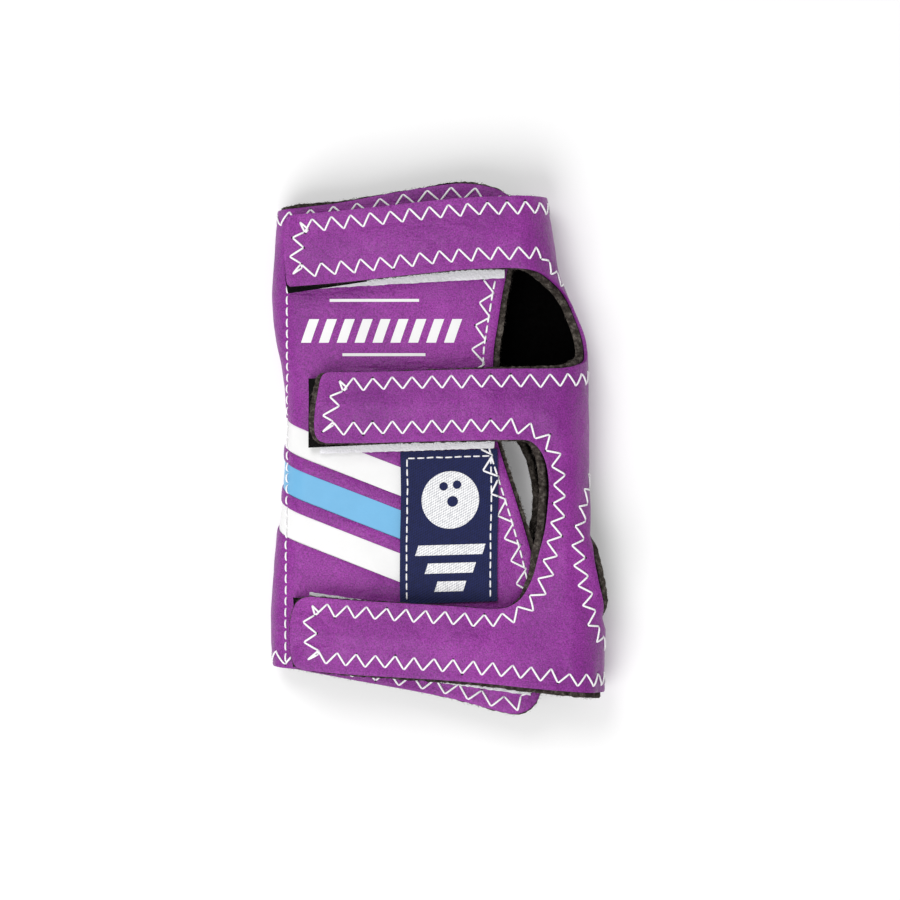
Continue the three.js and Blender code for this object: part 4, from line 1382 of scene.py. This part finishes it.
# Label
LABEL_FACE = SEAM + LABEL_THICKNESS
LABEL_CORNERS = [(0.5, 0), (-0.5, 0), (-0.5, LABEL_LENGTH), (0.5, LABEL_LENGTH)]
label_loop = loop_of([label_point(*corner) for corner in LABEL_CORNERS])
label = sheet_mesh("woven_label_cloth", [label_loop], -LABEL_FACE, -SEAM, LABEL_GRID)
finish(label, navy, "label_cloth", "woven_label")


def label_face(u, v):
    return np.full(np.shape(u), LABEL_FACE)


def sewn_face(u, v):
    """The face that the flap's seams are sewn on: the leather's, or the label's where they cross it."""
    points = np.stack([np.ravel(u), np.ravel(v)], axis=-1)
    on_label = inside(points, [label_loop]).reshape(np.shape(u))
    return np.where(on_label, LABEL_FACE, relief(u, v))


side = 0.5 - LABEL_SEAM_INSET / LABEL_WIDTH
low = LABEL_LENGTH - 1
# The label's seam: shares across and lengths down
LABEL_SEAM = [(-side, low), (-side, LABEL_SEAM_INSET), (side, LABEL_SEAM_INSET), (side, low)]
label_seam = np.array([label_point(*corner) for corner in LABEL_SEAM], float)
label_holes = [dash_points(label_seam[i : i + 2], LABEL_STITCH) for i in range(3)]


def motif_loop(shape):
    """A loop on the label. Columns: lengths right of its middle line and down from its top edge."""
    return loop_of([label_point(x / LABEL_WIDTH, y) for x, y in shape])


BALL = (0.5, 15.5, 9.0)  # the motif's disc on the label: right, down, radius
FINGER_HOLES = [(-1.6, 11.2, 1.35), (2.6, 10.8, 1.35), (1.2, 16.0, 1.7)]
BARS = [(29.5, 21.0, 3.2), (35.2, 15.0, 3.2), (40.9, 9.0, 3.2)]  # down, length, height
BAR_SLANT = 1
MOTIF_RAISE = 0.14
MOTIF_SINK = 0.1
BALL_POINTS = 56
FINGER_HOLE_POINTS = 18
motifs = {"label_disc": [round_shape(*BALL, BALL_POINTS)]}
motifs["label_disc"] += [round_shape(*hole, FINGER_HOLE_POINTS) for hole in FINGER_HOLES]
for i, (down, length, height) in enumerate(BARS):
    half = length / 2
    foot = down + height
    bar = [(-half, foot), (half, foot), (half + BAR_SLANT, down), (BAR_SLANT - half, down)]
    motifs[f"label_bar_{i}"] = [bar]
for name, shapes in motifs.items():
    parts = [motif_loop(shape) for shape in shapes]
    depths = (-LABEL_FACE - MOTIF_RAISE, -LABEL_FACE + MOTIF_SINK)
    finish(sheet_mesh(name, parts, *depths, MOTIF_GRID, rim=SMALL_RIM), white_weave, "label_cloth")

# Plain printed bars on the flap
PRINT_RAISE = 0.05
PRINT_SINK = 0.1
BAR_COUNT = 9
BAR_START, BAR_PITCH, BAR_THICK, BAR_LEAN = -43.0, 5.6, 3.1, 2.6
BAR_LOW, BAR_HIGH = 33.2, 40.6
RULES = [(-34.0, -6.0, 46.0, 0.9), (-30.0, -4.0, 29.0, 0.9)]  # from x, to x, y, height


def print_face(u, v):
    return relief(u, v) + PRINT_RAISE


printed = []
for i in range(BAR_COUNT):
    x = BAR_START + i * BAR_PITCH
    top_x = x + BAR_LEAN
    printed.append([(x, BAR_LOW), (x + BAR_THICK, BAR_LOW), (top_x + BAR_THICK, BAR_HIGH), (top_x, BAR_HIGH)])
for x1, x2, y, height in RULES:
    printed.append([(x1, y), (x2, y), (x2, y + height), (x1, y + height)])
for i, shape in enumerate(printed):
    part = loop_of([seen(LEFT, x, y) for x, y in shape])
    mark = sheet_mesh(f"printed_bar_{i}", [part], 0, PRINT_SINK, PRINT_GRID, up=print_face, rim=SMALL_RIM)
    finish(mark, white_vinyl, "stripe_white")

# Stitches
zigzag = thread_mesh("zigzag_stitches", zigzag_holes, sewn_face)
straight = thread_mesh("straight_stitches", dash_holes, sewn_face, 0.95 * THREAD, sink=0.9, short=0.08)
label_stitches = thread_mesh("label_stitches", label_holes, label_face, 0.8 * THREAD, sink=0.9, short=0.09)
for stitches in (zigzag, straight, label_stitches):
    finish(stitches, thread, "stripe_white")
# Dark discs on a share of the needle holes, as painted shade for the hollow of each hole.
HOLE_SHADE_SHARE = 0.22
HOLE_SHADE_RADII = (0.3, 0.48)
chosen = np.vstack(zigzag_holes)
chosen = chosen[rng.random(len(chosen)) < HOLE_SHADE_SHARE]
hole_shade_discs = disc_mesh("needle_holes", chosen, rng.uniform(*HOLE_SHADE_RADII, len(chosen)), sewn_face)
finish(hole_shade_discs, dark, "leather")


def flat_size(loop):
    low, high = loop[:, :2].min(axis=0), loop[:, :2].max(axis=0)
    return tuple(float(x) * MM for x in high - low)


def open_area(parts):
    return (abs(area_of(parts[0])) - sum(abs(area_of(p)) for p in parts[1:])) * MM * MM


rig.sheet(leather, flat_size(outline), "folded", ["felt_lining_sheet"], open_area(loops))
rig.sheet(felt, flat_size(felt_loops[0]), "folded", ["leather_glove"], open_area(felt_loops))
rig.sheet(label, (LABEL_WIDTH * MM, LABEL_LENGTH * MM), "laid", ["leather_glove"])
for tape, loop in tapes:
    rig.sheet(tape, flat_size(loop), "laid", ["leather_glove"], open_area([loop]))

# Floor and light
floor_mesh = bpy.data.meshes.new("floor")
floor_mesh.from_pydata([(-2, -2, 0), (2, -2, 0), (2, 2, 0), (-2, 2, 0)], [], [(0, 1, 2, 3)])
floor = bpy.data.objects.new("floor", floor_mesh)
FLOOR_GREY = (0.78, 0.78, 0.78)
floor_look = Nodes("white_floor", FLOOR_GREY, 0.9, emission_color=(1, 1, 1, 1), emission_strength=0.18)
floor_mesh.materials.append(floor_look.material)
bpy.context.scene.collection.objects.link(floor)
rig.stage(floor)

world = bpy.data.worlds.new("studio")
world.use_nodes = True
world.node_tree.nodes["Background"].inputs["Color"].default_value = (1, 1, 1, 1)
world.node_tree.nodes["Background"].inputs["Strength"].default_value = 0.45
bpy.context.scene.world = world


def area_light(name, place, size, power):
    data = bpy.data.lights.new(name, "AREA")
    data.shape = "DISK"
    data.size = size
    data.energy = power
    lamp = bpy.data.objects.new(name, data)
    lamp.location = place
    lamp.rotation_euler = (-Vector(place)).to_track_quat("-Z", "Y").to_euler()
    bpy.context.scene.collection.objects.link(lamp)


area_light("key", (-0.3, -0.55, 0.9), 0.8, 7.6)
area_light("fill", (-0.28, 0.5, 0.9), 0.5, 3.6)
bpy.context.scene.view_settings.view_transform = "Standard"

visual_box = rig.bounds()
with open("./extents.json", "w") as out:
    json.dump({"cad": [list(map(float, c)) for c in cad_box], "visual": [list(map(float, c)) for c in visual_box]}, out)
